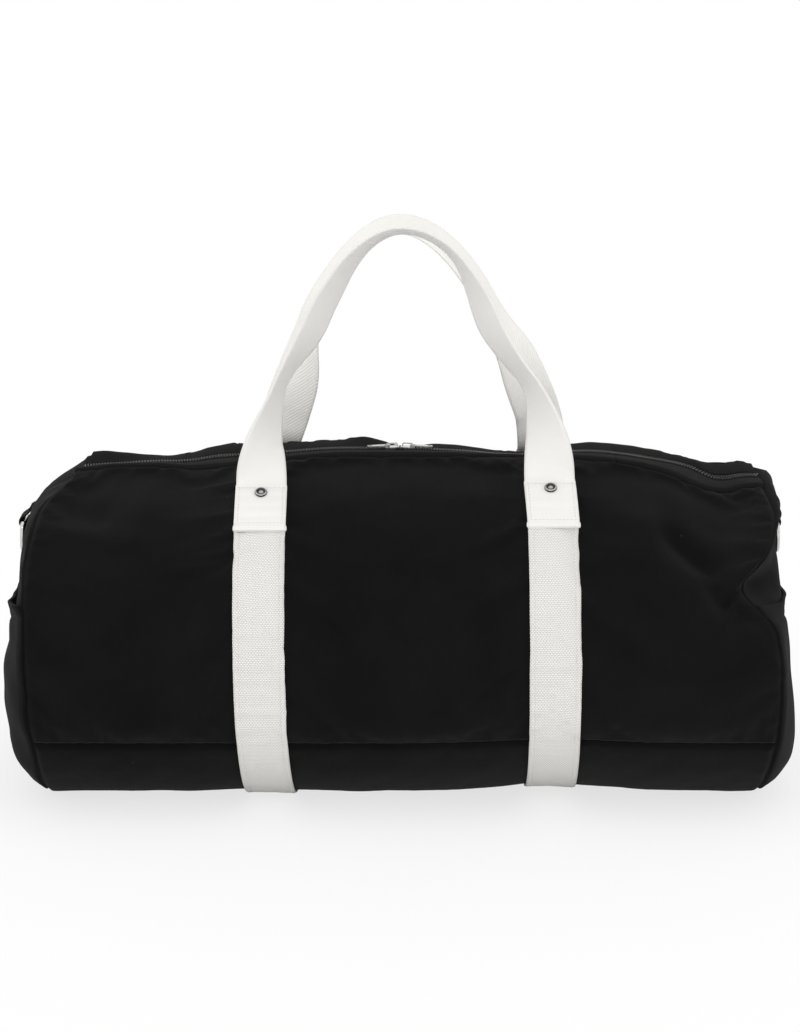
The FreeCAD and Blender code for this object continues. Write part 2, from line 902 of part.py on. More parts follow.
profile(
    crown_sketch,
    [
        (crown_start, plate_top),
        (crown_start + slider_plate, plate_top),
        (crown_start + slider_plate, crown_top - slider_plate),
        (crown_end - slider_plate, crown_top - slider_plate),
        (crown_end - slider_plate, plate_top),
        (crown_end, plate_top),
        (crown_end, crown_top - slider_plate),
        (crown_end - slider_plate, crown_top),
        (crown_start + slider_plate, crown_top),
        (crown_start, crown_top - slider_plate),
    ],
)
pad(slider, crown_sketch, crown_width)
on_chain(slider)
keep(slider, "right_slider")
keep(mirror("left_slider", slider, ACROSS), "left_slider")

pull = body("pull")
bar_radius = pull_width * BAR_SHARE
bar_x = crown_end - slider_plate - run_gap - bar_radius
bar_z = plate_top + run_gap + bar_radius
bar_sketch = sketch_on(pull, "XZ_Plane")
ring(bar_sketch, bar_x, bar_z, bar_radius)
pad(pull, bar_sketch, pull_width)
pull_sketch = sketch_on(pull, "XY_Plane", bar_z)
pull_half = pull_width / 2
window = crown_width / 2 + run_gap
window_end = bar_x + pull_length * WINDOW_SHARE
pull_end = bar_x + pull_length - pull_half
profile(
    pull_sketch,
    [
        (bar_x, -pull_half),
        (pull_end, -pull_half),
        (pull_end + pull_half, ZERO),
        (pull_end, pull_half),
        (bar_x, pull_half),
        (bar_x, window),
        (window_end, window),
        (window_end, -window),
        (bar_x, -window),
    ],
    {
        1: (pull_end, ZERO, pull_half, True),
        2: (pull_end, ZERO, pull_half, True),
    },
)
ring(pull_sketch, pull_end, ZERO, pull_width * PULL_HOLE_SHARE)
pad(pull, pull_sketch, pull_thick)
on_chain(pull)
keep(pull, "right_pull")
keep(mirror("left_pull", pull, ACROSS), "left_pull")

# A webbing handle stands on its two stitch lines, leans inward with bowed legs, and twists a
# quarter turn on the way up so that it lies flat across the arch beside the other handle.
handle_bead = webbing_thick.number * BEAD_SHARE
hinge_radius = end_outer.number + run_gap.number + handle_bead
lean_angle = math.radians(handle_angle.number)
foot_y = -hinge_radius * math.sin(lean_angle)
foot_z = arc_z.number + hinge_radius * math.cos(lean_angle)
crest_y = -(webbing_width.number + cell("handle_gap").number) / 2
crest_z = top_z.number + cell("handle_rise").number
arch = cell("handle_arch").number
handle_bow = cell("handle_bow").number
lean_way = V(0, crest_y - foot_y, crest_z - foot_z)
lean_height = lean_way.Length
lean_way.normalize()
side_way = V(1, 0, 0)
flat_way = side_way.cross(lean_way)
arch_height = lean_height - arch
reach = math.hypot(strap_x.number, arch_height)
leg = math.sqrt(reach * reach - arch * arch)
leg_angle = math.atan2(arch_height, -strap_x.number) - math.asin(arch / reach)
leg_way = (math.cos(leg_angle), math.sin(leg_angle))
arch_start = leg_angle - math.pi / 2
arch_length = arch * (math.pi / 2 - arch_start)
half_path = leg + arch_length
foot = V(0, foot_y, foot_z)


def handle_section(distance):
    """The webbing's rectangle so far along the right half of the handle."""
    if distance <= leg:
        part_way = math.pi * distance / leg
        bow = (math.sin(part_way) + math.sin(2 * part_way) / 2) / BOW_CREST
        bow_slope = (math.cos(part_way) + math.cos(2 * part_way)) / BOW_CREST
        flat_x = strap_x.number + leg_way[0] * distance + handle_bow * bow
        flat_h = leg_way[1] * distance
        heading = math.atan2(leg_way[1], leg_way[0] + handle_bow * bow_slope * math.pi / leg)
    else:
        turn = arch_start + (distance - leg) / arch
        flat_x = arch * math.cos(turn)
        flat_h = arch_height + arch * math.sin(turn)
        heading = turn + math.pi / 2
    centre = foot + side_way * flat_x + lean_way * flat_h
    inward = side_way * -math.sin(heading) + lean_way * math.cos(heading)
    settle = min(1, distance / (webbing_width.number * SETTLE_SHARE))
    inward = inward * settle - side_way * (1 - settle)
    inward.normalize()
    twist = math.pi / 2 * (1 - (1 - distance / half_path) ** TWIST_EASE_POWER)
    across = inward * math.cos(twist) - flat_way * math.sin(twist)
    normal = inward * math.sin(twist) + flat_way * math.cos(twist)
    across = across * (webbing_width.number / 2)
    normal = normal * (webbing_thick.number / 2)
    return [
        centre + across + normal,
        centre - across + normal,
        centre - across - normal,
        centre + across - normal,
    ]


def closed(points):
    return Part.makePolygon(points + [points[0]])


distances = [leg * step / SECTIONS_PER_LEG for step in range(SECTIONS_PER_LEG)]
distances += [
    leg + arch_length * step / SECTIONS_PER_ARCH for step in range(SECTIONS_PER_ARCH + 1)
]
right_half = [handle_section(distance) for distance in distances]
left_half = []
for points in reversed(right_half[:-1]):
    flipped = [V(-point.x, point.y, point.z) for point in points]
    left_half.append([flipped[1], flipped[0], flipped[3], flipped[2]])
loop = Part.makeLoft([closed(points) for points in right_half + left_half], True, True)
fold_length = webbing_width.number - 2 * sew_gap.number
for side in (1, -1):
    start = V(side * strap_x.number - fold_length / 2, foot_y, foot_z)
    fold = Part.makeCylinder(handle_bead, fold_length, start, V(1, 0, 0))
    loop = loop.fuse(fold)
front_handle = doc.addObject("Part::Feature", "front_handle")
front_handle.Shape = loop
keep(front_handle, "front_handle")
keep(mirror("back_handle", front_handle, THROUGH), "back_handle")

doc.recompute()

for item in doc.Objects:
    if "Invalid" in item.State or "Error" in item.State:
        raise RuntimeError("%s did not build" % item.Label)
for item in NODES:
    shape = item.Shape
    if shape.isNull() or not shape.isValid() or not shape.Solids:
        raise RuntimeError("%s has no valid solid" % item.Label)

os.makedirs("parts", exist_ok=True)
for item in NODES:
    item.Shape.exportStep(os.path.join("parts", item.Label + ".step"))
    bounds = item.Shape.BoundBox
    print(
        "%-18s solids %d  x %.1f..%.1f  y %.1f..%.1f  z %.1f..%.1f"
        % (
            item.Label,
            len(item.Shape.Solids),
            bounds.XMin,
            bounds.XMax,
            bounds.YMin,
            bounds.YMax,
            bounds.ZMin,
            bounds.ZMax,
        )
    )
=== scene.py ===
import math

import bmesh
import bpy
import numpy as np
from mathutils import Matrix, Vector

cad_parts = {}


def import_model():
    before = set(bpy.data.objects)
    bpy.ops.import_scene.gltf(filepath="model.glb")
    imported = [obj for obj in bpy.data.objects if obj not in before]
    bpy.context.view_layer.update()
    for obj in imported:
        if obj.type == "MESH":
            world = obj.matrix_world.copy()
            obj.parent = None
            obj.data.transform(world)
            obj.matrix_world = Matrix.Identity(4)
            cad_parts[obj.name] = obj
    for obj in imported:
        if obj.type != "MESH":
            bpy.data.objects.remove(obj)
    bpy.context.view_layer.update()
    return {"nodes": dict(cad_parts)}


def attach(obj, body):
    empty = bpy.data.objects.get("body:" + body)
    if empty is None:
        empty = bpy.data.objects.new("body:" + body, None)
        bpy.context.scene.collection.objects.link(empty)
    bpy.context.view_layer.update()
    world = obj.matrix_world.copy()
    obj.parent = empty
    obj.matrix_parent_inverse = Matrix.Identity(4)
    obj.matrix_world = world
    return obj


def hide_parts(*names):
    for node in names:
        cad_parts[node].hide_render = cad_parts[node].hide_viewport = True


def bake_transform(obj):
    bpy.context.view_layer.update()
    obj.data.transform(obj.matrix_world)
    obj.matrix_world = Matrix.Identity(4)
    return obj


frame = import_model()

# Sizes of the barrel's cross-section, in metres, as in the frame.
HALF_DEPTH = 0.140
BASE_RADIUS = 0.090
LIFT = 0.0022
LOW_Z = LIFT + BASE_RADIUS
ARC_Z = 0.1202
LOW_Y = HALF_DEPTH - BASE_RADIUS
QUARTER = math.pi / 2 * HALF_DEPTH
SIDE_END = QUARTER + ARC_Z - LOW_Z
CORNER_END = SIDE_END + math.pi / 2 * BASE_RADIUS
HALF_GIRTH = CORNER_END + LOW_Y
GIRTH = 2 * HALF_GIRTH

ZIP_HALF = 0.0235
ZIP_TURN = HALF_DEPTH * math.asin(ZIP_HALF / HALF_DEPTH)
BASE_SEAM_Z = 0.0582
BASE_TURN = SIDE_END + BASE_RADIUS * math.asin((LOW_Z - BASE_SEAM_Z) / BASE_RADIUS)
CANVAS = 0.0018
SEAM_DIP = 0.0030
FLOOR_GAP = 0.0003

STRAP_X = 0.107
WEB_WIDTH = 0.038
WEB_THICK = 0.002
SIDES = ((1, "right"), (-1, "left"))
SIDE_WAY = np.array([1.0, 0.0, 0.0])


def ramp(value, start, end):
    """0 before start, 1 after end, smooth between."""
    share = np.clip((value - start) / (end - start), 0, 1)
    return share * share * (3 - 2 * share)


def hump(value, centre, width):
    return np.exp(-(((value - centre) / width) ** 2))


def unit(vectors):
    return vectors / (np.linalg.norm(vectors, axis=-1, keepdims=True) + 1e-12)


def travelled(points):
    """The distance along a row of points, at each of them."""
    return np.concatenate([[0], np.cumsum(np.linalg.norm(np.diff(points, axis=0), axis=1))])


class Profile:
    """A softened line through a few points in millimetres, for a size that changes along an edge."""

    STEP = 0.001

    def __init__(self, blur, *points):
        places, values = np.array(points).T / 1000
        self.places = np.arange(places[0] - 4 * blur, places[-1] + 4 * blur, self.STEP)
        reach = int(4 * blur / self.STEP)
        kernel = np.exp(-0.5 * (np.arange(-reach, reach + 1) * self.STEP / blur) ** 2)
        rough = np.interp(self.places, places, values)
        padded = np.pad(rough, reach, mode="edge")
        self.values = np.convolve(padded, kernel / kernel.sum(), mode="valid")

    def __call__(self, place):
        return np.interp(place, self.places, self.values)


# How far the top has slumped along the bag, at the front and the back edge of the zip band.
FRONT_SAG = Profile(
    0.007,
    (-290, -13), (-251, -13), (-232, -10), (-216, -8.5), (-189, -8), (-156, -11), (-128, -8.5), (-88, -3.5),
    (-54, -0.5), (-25, 0), (26, 0), (60, -0.5), (100, -1.5), (135, -2.5), (165, -5), (195, -10), (212, -15),
    (230, -24), (250, -29), (265, -24), (290, -25),
)
BACK_SAG = Profile(
    0.006,
    (-290, -13), (-250, -9), (-240, -6.5), (-228, -6.5), (-200, -10), (-180, -11.5), (-160, -8),
    (-142, -1.5), (-90, -1.5), (-60, 1.2), (-40, 1.5), (-28, 1), (-18, 0.3), (10, 0), (24, -1), (50, -3),
    (71, -7), (87, -8.5), (100, -8), (120, -3), (150, 0.5), (180, -2.5), (205, -7), (235, -14),
    (250, -15.5), (268, -14.5), (290, -20),
)
# How much the chain is brought nearer to the line that the sliders run on, at the ends of their travel.
CHAIN_FIT = Profile(
    0.006,
    (-290, 0), (-268, -0.5), (-256, -2.6), (-246, -4), (-228, -4.2), (-214, -3.4), (-200, -1.2), (-185, 0),
    (195, 0), (210, 1), (222, 2.8), (230, 2), (244, 0), (290, 0),
)
# How far the top leans to the front.
FORWARD = Profile(0.008, (-290, 0), (185, 0), (212, -4), (232, -11), (248, -9), (268, -2), (290, 0))

# Where the end seams run, by height, and how much further in they are behind the zip: the left end
# has slumped in at the top, the right one leans out.
END_SEAM = {
    -1: Profile(
        0.004,
        (0, 270), (30, 272), (58, 274), (75, 277), (100, 278), (150, 279.5), (198, 280), (220, 277),
        (235, 273), (243, 270), (250, 263), (254, 255), (258, 248), (262, 244),
    ),
    1: Profile(
        0.005,
        (0, 274), (30, 278), (58, 281), (95, 284), (150, 281), (175, 277), (195, 273), (212, 273),
        (226, 279), (240, 284), (250, 284), (256, 281), (262, 276),
    ),
}
BACK_SEAM = {
    -1: Profile(
        0.004,
        (0, 0), (195, 0), (215, -3), (225, -9), (235, -15), (243, -18), (250, -21), (257, -12), (262, -6),
    ),
    1: Profile(0.005, (0, 0), (225, 0), (240, -4), (250, -8), (262, -4)),
}

# Folds of the front panel: line of (x, z) in millimetres, depth in millimetres, half width in metres.
FOLDS = [
    ([(206, 224), (232, 213), (239, 196), (246, 182), (256, 172)], -10.0, 0.010),
    ([(185, 208), (212, 180), (244, 138), (262, 112)], 4.0, 0.020),
    ([(256, 222), (272, 205)], 5.0, 0.022),
    ([(252, 176), (268, 148), (284, 118)], 4.5, 0.007),
    ([(-262, 232), (-236, 224), (-205, 219)], 2.6, 0.011),
    ([(-246, 240), (-226, 236)], -4.5, 0.009),
    ([(-190, 236), (-120, 229)], 1.6, 0.014),
    ([(-175, 226), (-160, 175)], -1.5, 0.018),
    ([(-85, 240), (-70, 190), (-66, 130)], -1.8, 0.016),
    ([(-52, 238), (10, 232), (62, 238)], 1.5, 0.016),
    ([(84, 236), (76, 190), (70, 120)], -1.6, 0.015),
    ([(130, 232), (146, 190), (150, 120)], -1.4, 0.018),
    ([(150, 236), (200, 226)], 1.8, 0.012),
]
# How far the cloth swells between the straps, is pinched in and back at the right end, hangs
# under the base between the straps, and is lifted off the floor beside the right strap.
BELLY = 0.0025
PINCH_IN = 0.021
PINCH_BACK = 0.010
BASE_HANG = 0.0016
BASE_LIFT = 0.005


def section(turn):
    """The barrel's outline and outward direction, turn metres from the top: front is +, back is -."""
    along = np.abs(turn)
    top = np.clip(along, 0, QUARTER) / HALF_DEPTH
    low = np.clip(along - SIDE_END, 0, CORNER_END - SIDE_END) / BASE_RADIUS
    upper = along < SIDE_END
    flat = np.clip(along - CORNER_END, 0, None)
    y = np.where(upper, HALF_DEPTH * np.sin(top), LOW_Y + BASE_RADIUS * np.cos(low) - flat)
    side_z = ARC_Z - np.clip(along - QUARTER, 0, None)
    upper_z = np.where(along < QUARTER, ARC_Z + HALF_DEPTH * np.cos(top), side_z)
    z = np.where(upper, upper_z, LOW_Z - BASE_RADIUS * np.sin(low))
    out_y = np.where(upper, np.sin(top), np.cos(low))
    out_z = np.where(upper, np.cos(top), -np.sin(low))
    side = np.where(turn >= 0, -1.0, 1.0)
    return side * y, z, side * out_y, out_z


def near_line(x, z, line, width):
    """How near each (x, z) is to a line of points, 1 on it and fading over width."""
    best = np.full(np.shape(x), 1e9)
    corners = np.array(line) / 1000
    for (ax, az), (bx, bz) in zip(corners[:-1], corners[1:]):
        length = (bx - ax) ** 2 + (bz - az) ** 2
        share = np.clip(((x - ax) * (bx - ax) + (z - az) * (bz - az)) / length, 0, 1)
        gap = (x - ax - share * (bx - ax)) ** 2 + (z - az - share * (bz - az)) ** 2
        best = np.minimum(best, gap)
    return np.exp(-best / width**2)


def slumped(z):
    """How much of the top's slump reaches height z."""
    return ramp(z, 0.095, 0.252)


def settle(points):
    """Moves points of the tidy barrel to where the slumped cloth lies."""
    points = np.array(points, float)
    x, y, z = points[..., 0], points[..., 1], points[..., 2]
    across = np.clip((y + ZIP_HALF) / (2 * ZIP_HALF), 0, 1)
    chain = 1 - ramp(np.abs(y), 0.004, ZIP_HALF)
    beside_pull = 0.0036 * hump(x, -0.027, 0.013) - 0.0046 * hump(x, 0.006, 0.014)
    sag = (1 - across) * FRONT_SAG(x) + across * BACK_SAG(x)
    sag = sag + beside_pull * ramp(y, 0.006, ZIP_HALF) + CHAIN_FIT(x) * chain
    forward = FORWARD(x) * (1 - chain * (1 - ramp(x, 0.224, 0.244)))
    over = np.clip(z - ARC_Z, 0, None)
    radius = np.sqrt(y * y + over**2) + 1e-9
    out = np.zeros_like(x)
    for line, depth, width in FOLDS:
        out = out + depth / 1000 * near_line(x, z, line, width)
    out = out * ramp(-y, 0.02, 0.07)
    belly = BELLY * (hump(x, 0.0, 0.075) + hump(x, -0.19, 0.06) + hump(x, 0.18, 0.05))
    belly = belly * ramp(z, 0.05, 0.1) * (1 - ramp(z, 0.17, 0.24))
    out = out + belly * ramp(np.abs(y), 0.08, 0.13)
    pinch = hump(x, 0.281, 0.028) * hump(z, 0.188, 0.019) * ramp(-y, 0.05, 0.115)
    strap = np.clip(hump(x, STRAP_X, 0.03) + hump(x, -STRAP_X, 0.03), 0, 1)
    rest = 1 - ramp(z, 0.0, 0.03)
    raised = BASE_LIFT * hump(x, 0.118, 0.06) * ramp(-y, 0.0, 0.06) * (1 - ramp(z, 0.03, 0.1))
    up = slumped(z)
    moved = np.empty_like(points)
    moved[..., 0] = x - PINCH_IN * pinch
    moved[..., 1] = y + forward * up + y / radius * out + PINCH_BACK * pinch
    moved[..., 2] = z + sag * up + over / radius * out - BASE_HANG * (1 - strap) * rest + raised
    return moved


def seam_reach(side, y, z):
    """How far out the end seam lies at (y, z), on the end that side's sign names."""
    behind = ramp(y, -0.02, 0.03)
    right, left = (END_SEAM[end](z) + BACK_SEAM[end](z) * behind for end in (1, -1))
    return np.where(np.asarray(side) >= 0, right, left)


def unwrap(run):
    """Turn from the top for a run that starts at the top and goes on round by the front and the base."""
    return np.where(run <= HALF_GIRTH, run, run - GIRTH)


SLACK = {}


def slack(along, run):
    """How far the loosened cloth has moved, read from the simulated sheet."""
    if not SLACK:
        return 0.0
    table = SLACK["moved"]
    first, last = SLACK["run"]
    rows, columns = table.shape[:2]
    row = np.clip((run - first) / (last - first), 0, 1) * (rows - 1)
    column = np.clip((along + 1) / 2, 0, 1) * (columns - 1)
    row0 = np.clip(row.astype(int), 0, rows - 2)
    column0 = np.clip(column.astype(int), 0, columns - 2)
    down = (row - row0)[..., None]
    right = (column - column0)[..., None]
    top = table[row0, column0] * (1 - right) + table[row0, column0 + 1] * right
    low = table[row0 + 1, column0] * (1 - right) + table[row0 + 1, column0 + 1] * right
    return top * (1 - down) + low * down


def on_barrel(along, run, proud=0.0):
    """A point of the cloth: along from -1 at the left seam to 1 at the right, run round from the top."""
    along, run = np.broadcast_arrays(np.asarray(along, float), np.asarray(run, float))
    y, z, out_y, out_z = section(unwrap(run))
    x = along * seam_reach(along, y, z)
    placed = settle(np.stack([x, y + out_y * proud, z + out_z * proud], -1)) + slack(along, run)
    placed[..., 2] = np.maximum(placed[..., 2], FLOOR_GAP)
    return placed


def at_x(x, run, proud=0.0):
    """A point of the cloth at a distance x along the bag."""
    x, run = np.broadcast_arrays(np.asarray(x, float), np.asarray(run, float))
    y, z = section(unwrap(run))[:2]
    return on_barrel(x / seam_reach(x, y, z), run, proud)


def ripple(seed, shortest, longest, a, b=None):
    """Gentle unevenness along an edge, or of a surface when it has a second direction b."""
    chance = np.random.default_rng(seed)
    count = 7 if b is None else 14
    total = 0
    for _ in range(count):
        length = chance.uniform(shortest, longest)
        place = a
        if b is not None:
            way = chance.uniform(0, math.pi)
            place = a * math.cos(way) + b * math.sin(way)
        total = total + np.sin(2 * math.pi * (place / length + chance.random()))
    return total / math.sqrt(count)


def add_object(name, verts, faces, uvs=None):
    mesh = bpy.data.meshes.new(name)
    faces = [tuple(map(int, face)) for face in faces]
    mesh.from_pydata(np.asarray(verts).reshape(-1, 3).tolist(), [], faces)
    mesh.polygons.foreach_set("use_smooth", [True] * len(mesh.polygons))
    if uvs is not None:
        layer = mesh.uv_layers.new(name="weave")
        corners = np.empty(len(mesh.loops), int)
        mesh.loops.foreach_get("vertex_index", corners)
        layer.data.foreach_set("uv", np.asarray(uvs).reshape(-1, 2)[corners].ravel())
    mesh.update()
    obj = bpy.data.objects.new(name, mesh)
    bpy.context.scene.collection.objects.link(obj)
    return obj


def grid_faces(rows, columns, wrap=False, flip=False):
    index = np.arange(rows * columns).reshape(rows, columns)
    if wrap:
        index = np.concatenate([index, index[:, :1]], 1)
    quads = np.stack([index[:-1, :-1], index[1:, :-1], index[1:, 1:], index[:-1, 1:]], -1).reshape(-1, 4)
    return quads[:, ::-1] if flip else quads


def tube_faces(count, size, flip):
    """Faces round a row of closed rings, and one over each end."""
    first = list(range(size))
    last = list(range((count - 1) * size, count * size))
    ends = [first[::-1], last] if flip else [first, last[::-1]]
    return list(grid_faces(count, size, True, flip)) + ends


def cloth_grid(name, points, uvs, thick, wrap=False):
    """A sheet of cloth as a grid of points, its face outward from the bag and its back thick inside."""
    rows, columns = points.shape[:2]
    facing = np.cross(points[1:, :-1] - points[:-1, :-1], points[:-1, 1:] - points[:-1, :-1])
    flip = (facing * (points[:-1, :-1] - np.array([0, 0, 0.13]))).sum() < 0
    obj = add_object(name, points, grid_faces(rows, columns, wrap, flip), uvs)
    shell = obj.modifiers.new("cloth thickness", "SOLIDIFY")
    shell.thickness = thick
    shell.offset = -1
    return obj


def sweep(name, loops, uvs, flip=False):
    """A closed cross-section carried along a path, closed at both ends."""
    loops = np.asarray(loops)
    obj = add_object(name, loops, tube_faces(loops.shape[0], loops.shape[1], flip), uvs)
    for face in obj.data.polygons[-2:]:
        face.use_smooth = False
    return obj


def band_profile(width, thick, columns, edge, drop):
    """Places across a band of webbing and half its thickness there, less at its rounded selvages."""
    place = np.linspace(-1, 1, columns + 1) * width / 2
    fall = np.clip((np.abs(place) - (width / 2 - edge)) / edge, 0, 1)
    return place, thick / 2 * np.sqrt(np.clip(1 - drop * fall**2, 0, 1))


def band_loop(centre, across, normal, width, thick, columns, run):
    """One cross-section of flat webbing, run along its path: its points and their weave coordinates."""
    place, half = band_profile(width, thick, columns, 0.0007, 0.8)
    top = centre + place[:, None] * across + half[:, None] * normal
    low = centre + place[::-1][:, None] * across - half[::-1][:, None] * normal
    round_place = round_band(place, width)
    return np.concatenate([top, low]), np.stack([round_place, np.full(len(round_place), run)], -1)


def round_band(place, width):
    """Places across the top of a band and on across its underside, for the weave."""
    return np.concatenate([place, width - place[::-1] + 0.002])


def turned(outline, sides):
    """Points and faces of a small turned shape along X, from (place, radius) pairs."""
    angle = 2 * math.pi * np.arange(sides) / sides
    rings = []
    for place, radius in outline:
        rings.append(np.stack([np.full(sides, place), radius * np.cos(angle), radius * np.sin(angle)], -1))
    return np.concatenate(rings), tube_faces(len(outline), sides, True)


PILL = [(-0.5, 0.175), (-0.42, 0.375), (-0.2, 0.5), (0.2, 0.5), (0.42, 0.375), (0.5, 0.175)]
PILL_SIDES = 8


def scatter(name, centres, ways, ups, size):
    """Many small rounded bars as one piece, each along its way and standing on its up."""
    shape, faces = turned(PILL, PILL_SIDES)
    ways = unit(np.asarray(ways, float))
    ups = np.asarray(ups, float)
    ups = unit(ups - (ups * ways).sum(-1, keepdims=True) * ways)
    axes = np.stack([ways, np.cross(ups, ways), ups], 1)
    points = np.asarray(centres)[:, None, :] + (shape * np.array(size)) @ axes
    all_faces = []
    for number in range(len(points)):
        all_faces += [[corner + number * len(shape) for corner in face] for face in faces]
    return add_object(name, points, all_faces)


class Nodes:
    """Short-hand for building the node tree of a material or world."""

    def __init__(self, owner):
        owner.use_nodes = True
        self.owner = owner
        self.tree = owner.node_tree

    def feed(self, socket, value):
        if isinstance(value, (int, float, tuple)):
            socket.default_value = value
        else:
            self.tree.links.new(value, socket)

    def add(self, kind, **values):
        node = self.tree.nodes.new(kind)
        for key, value in values.items():
            if key in node.inputs:
                node.inputs[key].default_value = value
            else:
                setattr(node, key, value)
        return node

    def paint(self, **sockets):
        """Sets or links sockets of the shader, _ for a space, and gives the material back."""
        shader = self.tree.nodes["Principled BSDF"]
        for key, value in sockets.items():
            self.feed(shader.inputs[key.replace("_", " ")], value)
        return self.owner

    def weave(self):
        """Solid coordinates, and the places across and along the cloth."""
        place = self.add("ShaderNodeTexCoord")
        split = self.add("ShaderNodeSeparateXYZ")
        self.feed(split.inputs[0], place.outputs["UV"])
        return place.outputs["Object"], split.outputs[0], split.outputs[1]

    def math(self, operation, *values):
        node = self.add("ShaderNodeMath", operation=operation)
        for socket, value in zip(node.inputs, values):
            self.feed(socket, value)
        return node.outputs[0]

    def wave(self, value, length):
        return self.math("SINE", self.math("MULTIPLY", value, 2 * math.pi / length))

    def noise(self, coordinates, scale, detail=3.0, rough=0.55):
        node = self.add("ShaderNodeTexNoise", Scale=scale, Detail=detail, Roughness=rough)
        self.feed(node.inputs["Vector"], coordinates)
        return node.outputs["Fac"]

    def spread(self, value, low, high):
        node = self.add("ShaderNodeMapRange", **{"To Min": low, "To Max": high})
        self.feed(node.inputs["Value"], value)
        return node.outputs["Result"]

    def mix(self, share, first, second):
        node = self.add("ShaderNodeMix", data_type="RGBA")
        for value, socket in ((share, 0), (first, 6), (second, 7)):
            self.feed(node.inputs[socket], value)
        return node.outputs[2]

    def bump(self, height, strength, distance, normal=None):
        node = self.add("ShaderNodeBump", Strength=strength, Distance=distance)
        self.feed(node.inputs["Height"], height)
        if normal is not None:
            self.feed(node.inputs["Normal"], normal)
        return node.outputs["Normal"]

    def whiten(self, share, plain, white, output):
        """Shows white in place of plain by share."""
        node = self.add("ShaderNodeMixShader")
        for socket, value in zip(node.inputs, (share, plain.outputs[0], white.outputs[0])):
            self.feed(socket, value)
        self.feed(self.tree.nodes[output].inputs["Surface"], node.outputs[0])


def new_material(name):
    return Nodes(bpy.data.materials.new(name))


def grey(value, warm):
    return (value * (1 + warm), value, value * (1 - warm), 1.0)


def canvas_material(name, dark, light):
    """Black cotton canvas: fine twill, faint cockle, lint and a soft bloom of fibre."""
    nodes = new_material(name)
    solid, across, along = nodes.weave()
    rib = nodes.wave(nodes.math("ADD", across, nodes.math("MULTIPLY", along, 1.4)), 0.0011)
    pick = nodes.wave(nodes.math("SUBTRACT", along, nodes.math("MULTIPLY", across, 0.7)), 0.0008)
    twill = nodes.math("MULTIPLY_ADD", pick, 0.45, rib)
    mottled = nodes.noise(solid, 38, 5, 0.62)
    broad = nodes.noise(solid, 6.5, 2)
    tone = nodes.math("MULTIPLY_ADD", broad, 0.55, nodes.math("MULTIPLY", mottled, 0.45))
    tone = nodes.math("MULTIPLY_ADD", twill, 0.22, nodes.spread(tone, -0.25, 1.2))
    colour = nodes.mix(tone, grey(dark, 0.03), grey(light, 0.025))
    lint = nodes.add("ShaderNodeTexVoronoi", feature="F1", Scale=46)
    nodes.feed(lint.inputs["Vector"], solid)
    chosen = nodes.add("ShaderNodeSeparateColor")
    nodes.feed(chosen.inputs[0], lint.outputs["Color"])
    speck = nodes.math("LESS_THAN", lint.outputs["Distance"], 0.022)
    speck = nodes.math("MULTIPLY", speck, nodes.math("GREATER_THAN", chosen.outputs[0], 0.72))
    soft = nodes.bump(nodes.noise(solid, 85, 4, 0.6), 0.35, 0.0012)
    return nodes.paint(
        Base_Color=nodes.mix(nodes.math("MULTIPLY", speck, 0.45), colour, grey(0.16, 0.02)),
        Roughness=nodes.spread(mottled, 0.80, 0.97),
        Normal=nodes.bump(twill, 0.45, 0.00018, soft),
        Specular_IOR_Level=0.06,
        Sheen_Weight=0.044,
        Sheen_Roughness=0.45,
        Sheen_Tint=(0.8, 0.79, 0.78, 1),
    )


def webbing_material(name, cell_wide, cell_long, step, shaded_pit, crown, strength, depth):
    """Off-white cotton webbing: rows of raised cells, each row a step on from the last; the colour is
    painted darker in the pits between cells as painted shade.
    """
    nodes = new_material(name)
    solid, across, along = nodes.weave()
    row = nodes.math("DIVIDE", along, cell_long)
    shift = nodes.math("MULTIPLY", nodes.math("FLOOR", row), step)
    column = nodes.math("ADD", nodes.math("DIVIDE", across, cell_wide), shift)
    hills = [nodes.wave(nodes.math("FRACT", place), 2) for place in (column, row)]
    cell = nodes.math("POWER", nodes.math("MULTIPLY", *hills), 0.6)
    fibre = nodes.noise(solid, 900, 3, 0.7)
    mottled = nodes.noise(solid, 60, 4, 0.6)
    broad = nodes.noise(solid, 9, 2)
    shade = nodes.math("MULTIPLY_ADD", cell, 0.75, nodes.math("MULTIPLY", fibre, 0.25))
    # Painted shade: the colour runs from the pit colour in the hollows between cells to the crown colour on
    # their tops, mixed with random fibre tone.
    colour = nodes.mix(nodes.spread(shade, -0.05, 1.15), shaded_pit, crown)
    stain = nodes.spread(nodes.math("MULTIPLY", broad, mottled), 0.0, 1.0)
    soft = nodes.bump(nodes.noise(solid, 140, 3), 0.2, 0.0008)
    fuzz = nodes.bump(fibre, 0.25, 0.0003, soft)
    return nodes.paint(
        Base_Color=nodes.mix(nodes.math("MULTIPLY", stain, 0.5), colour, (0.86, 0.84, 0.785, 1)),
        Roughness=nodes.spread(mottled, 0.78, 0.95),
        Normal=nodes.bump(cell, strength, depth, fuzz),
        Specular_IOR_Level=0.2,
        Sheen_Weight=0.08,
        Sheen_Roughness=0.5,
    )


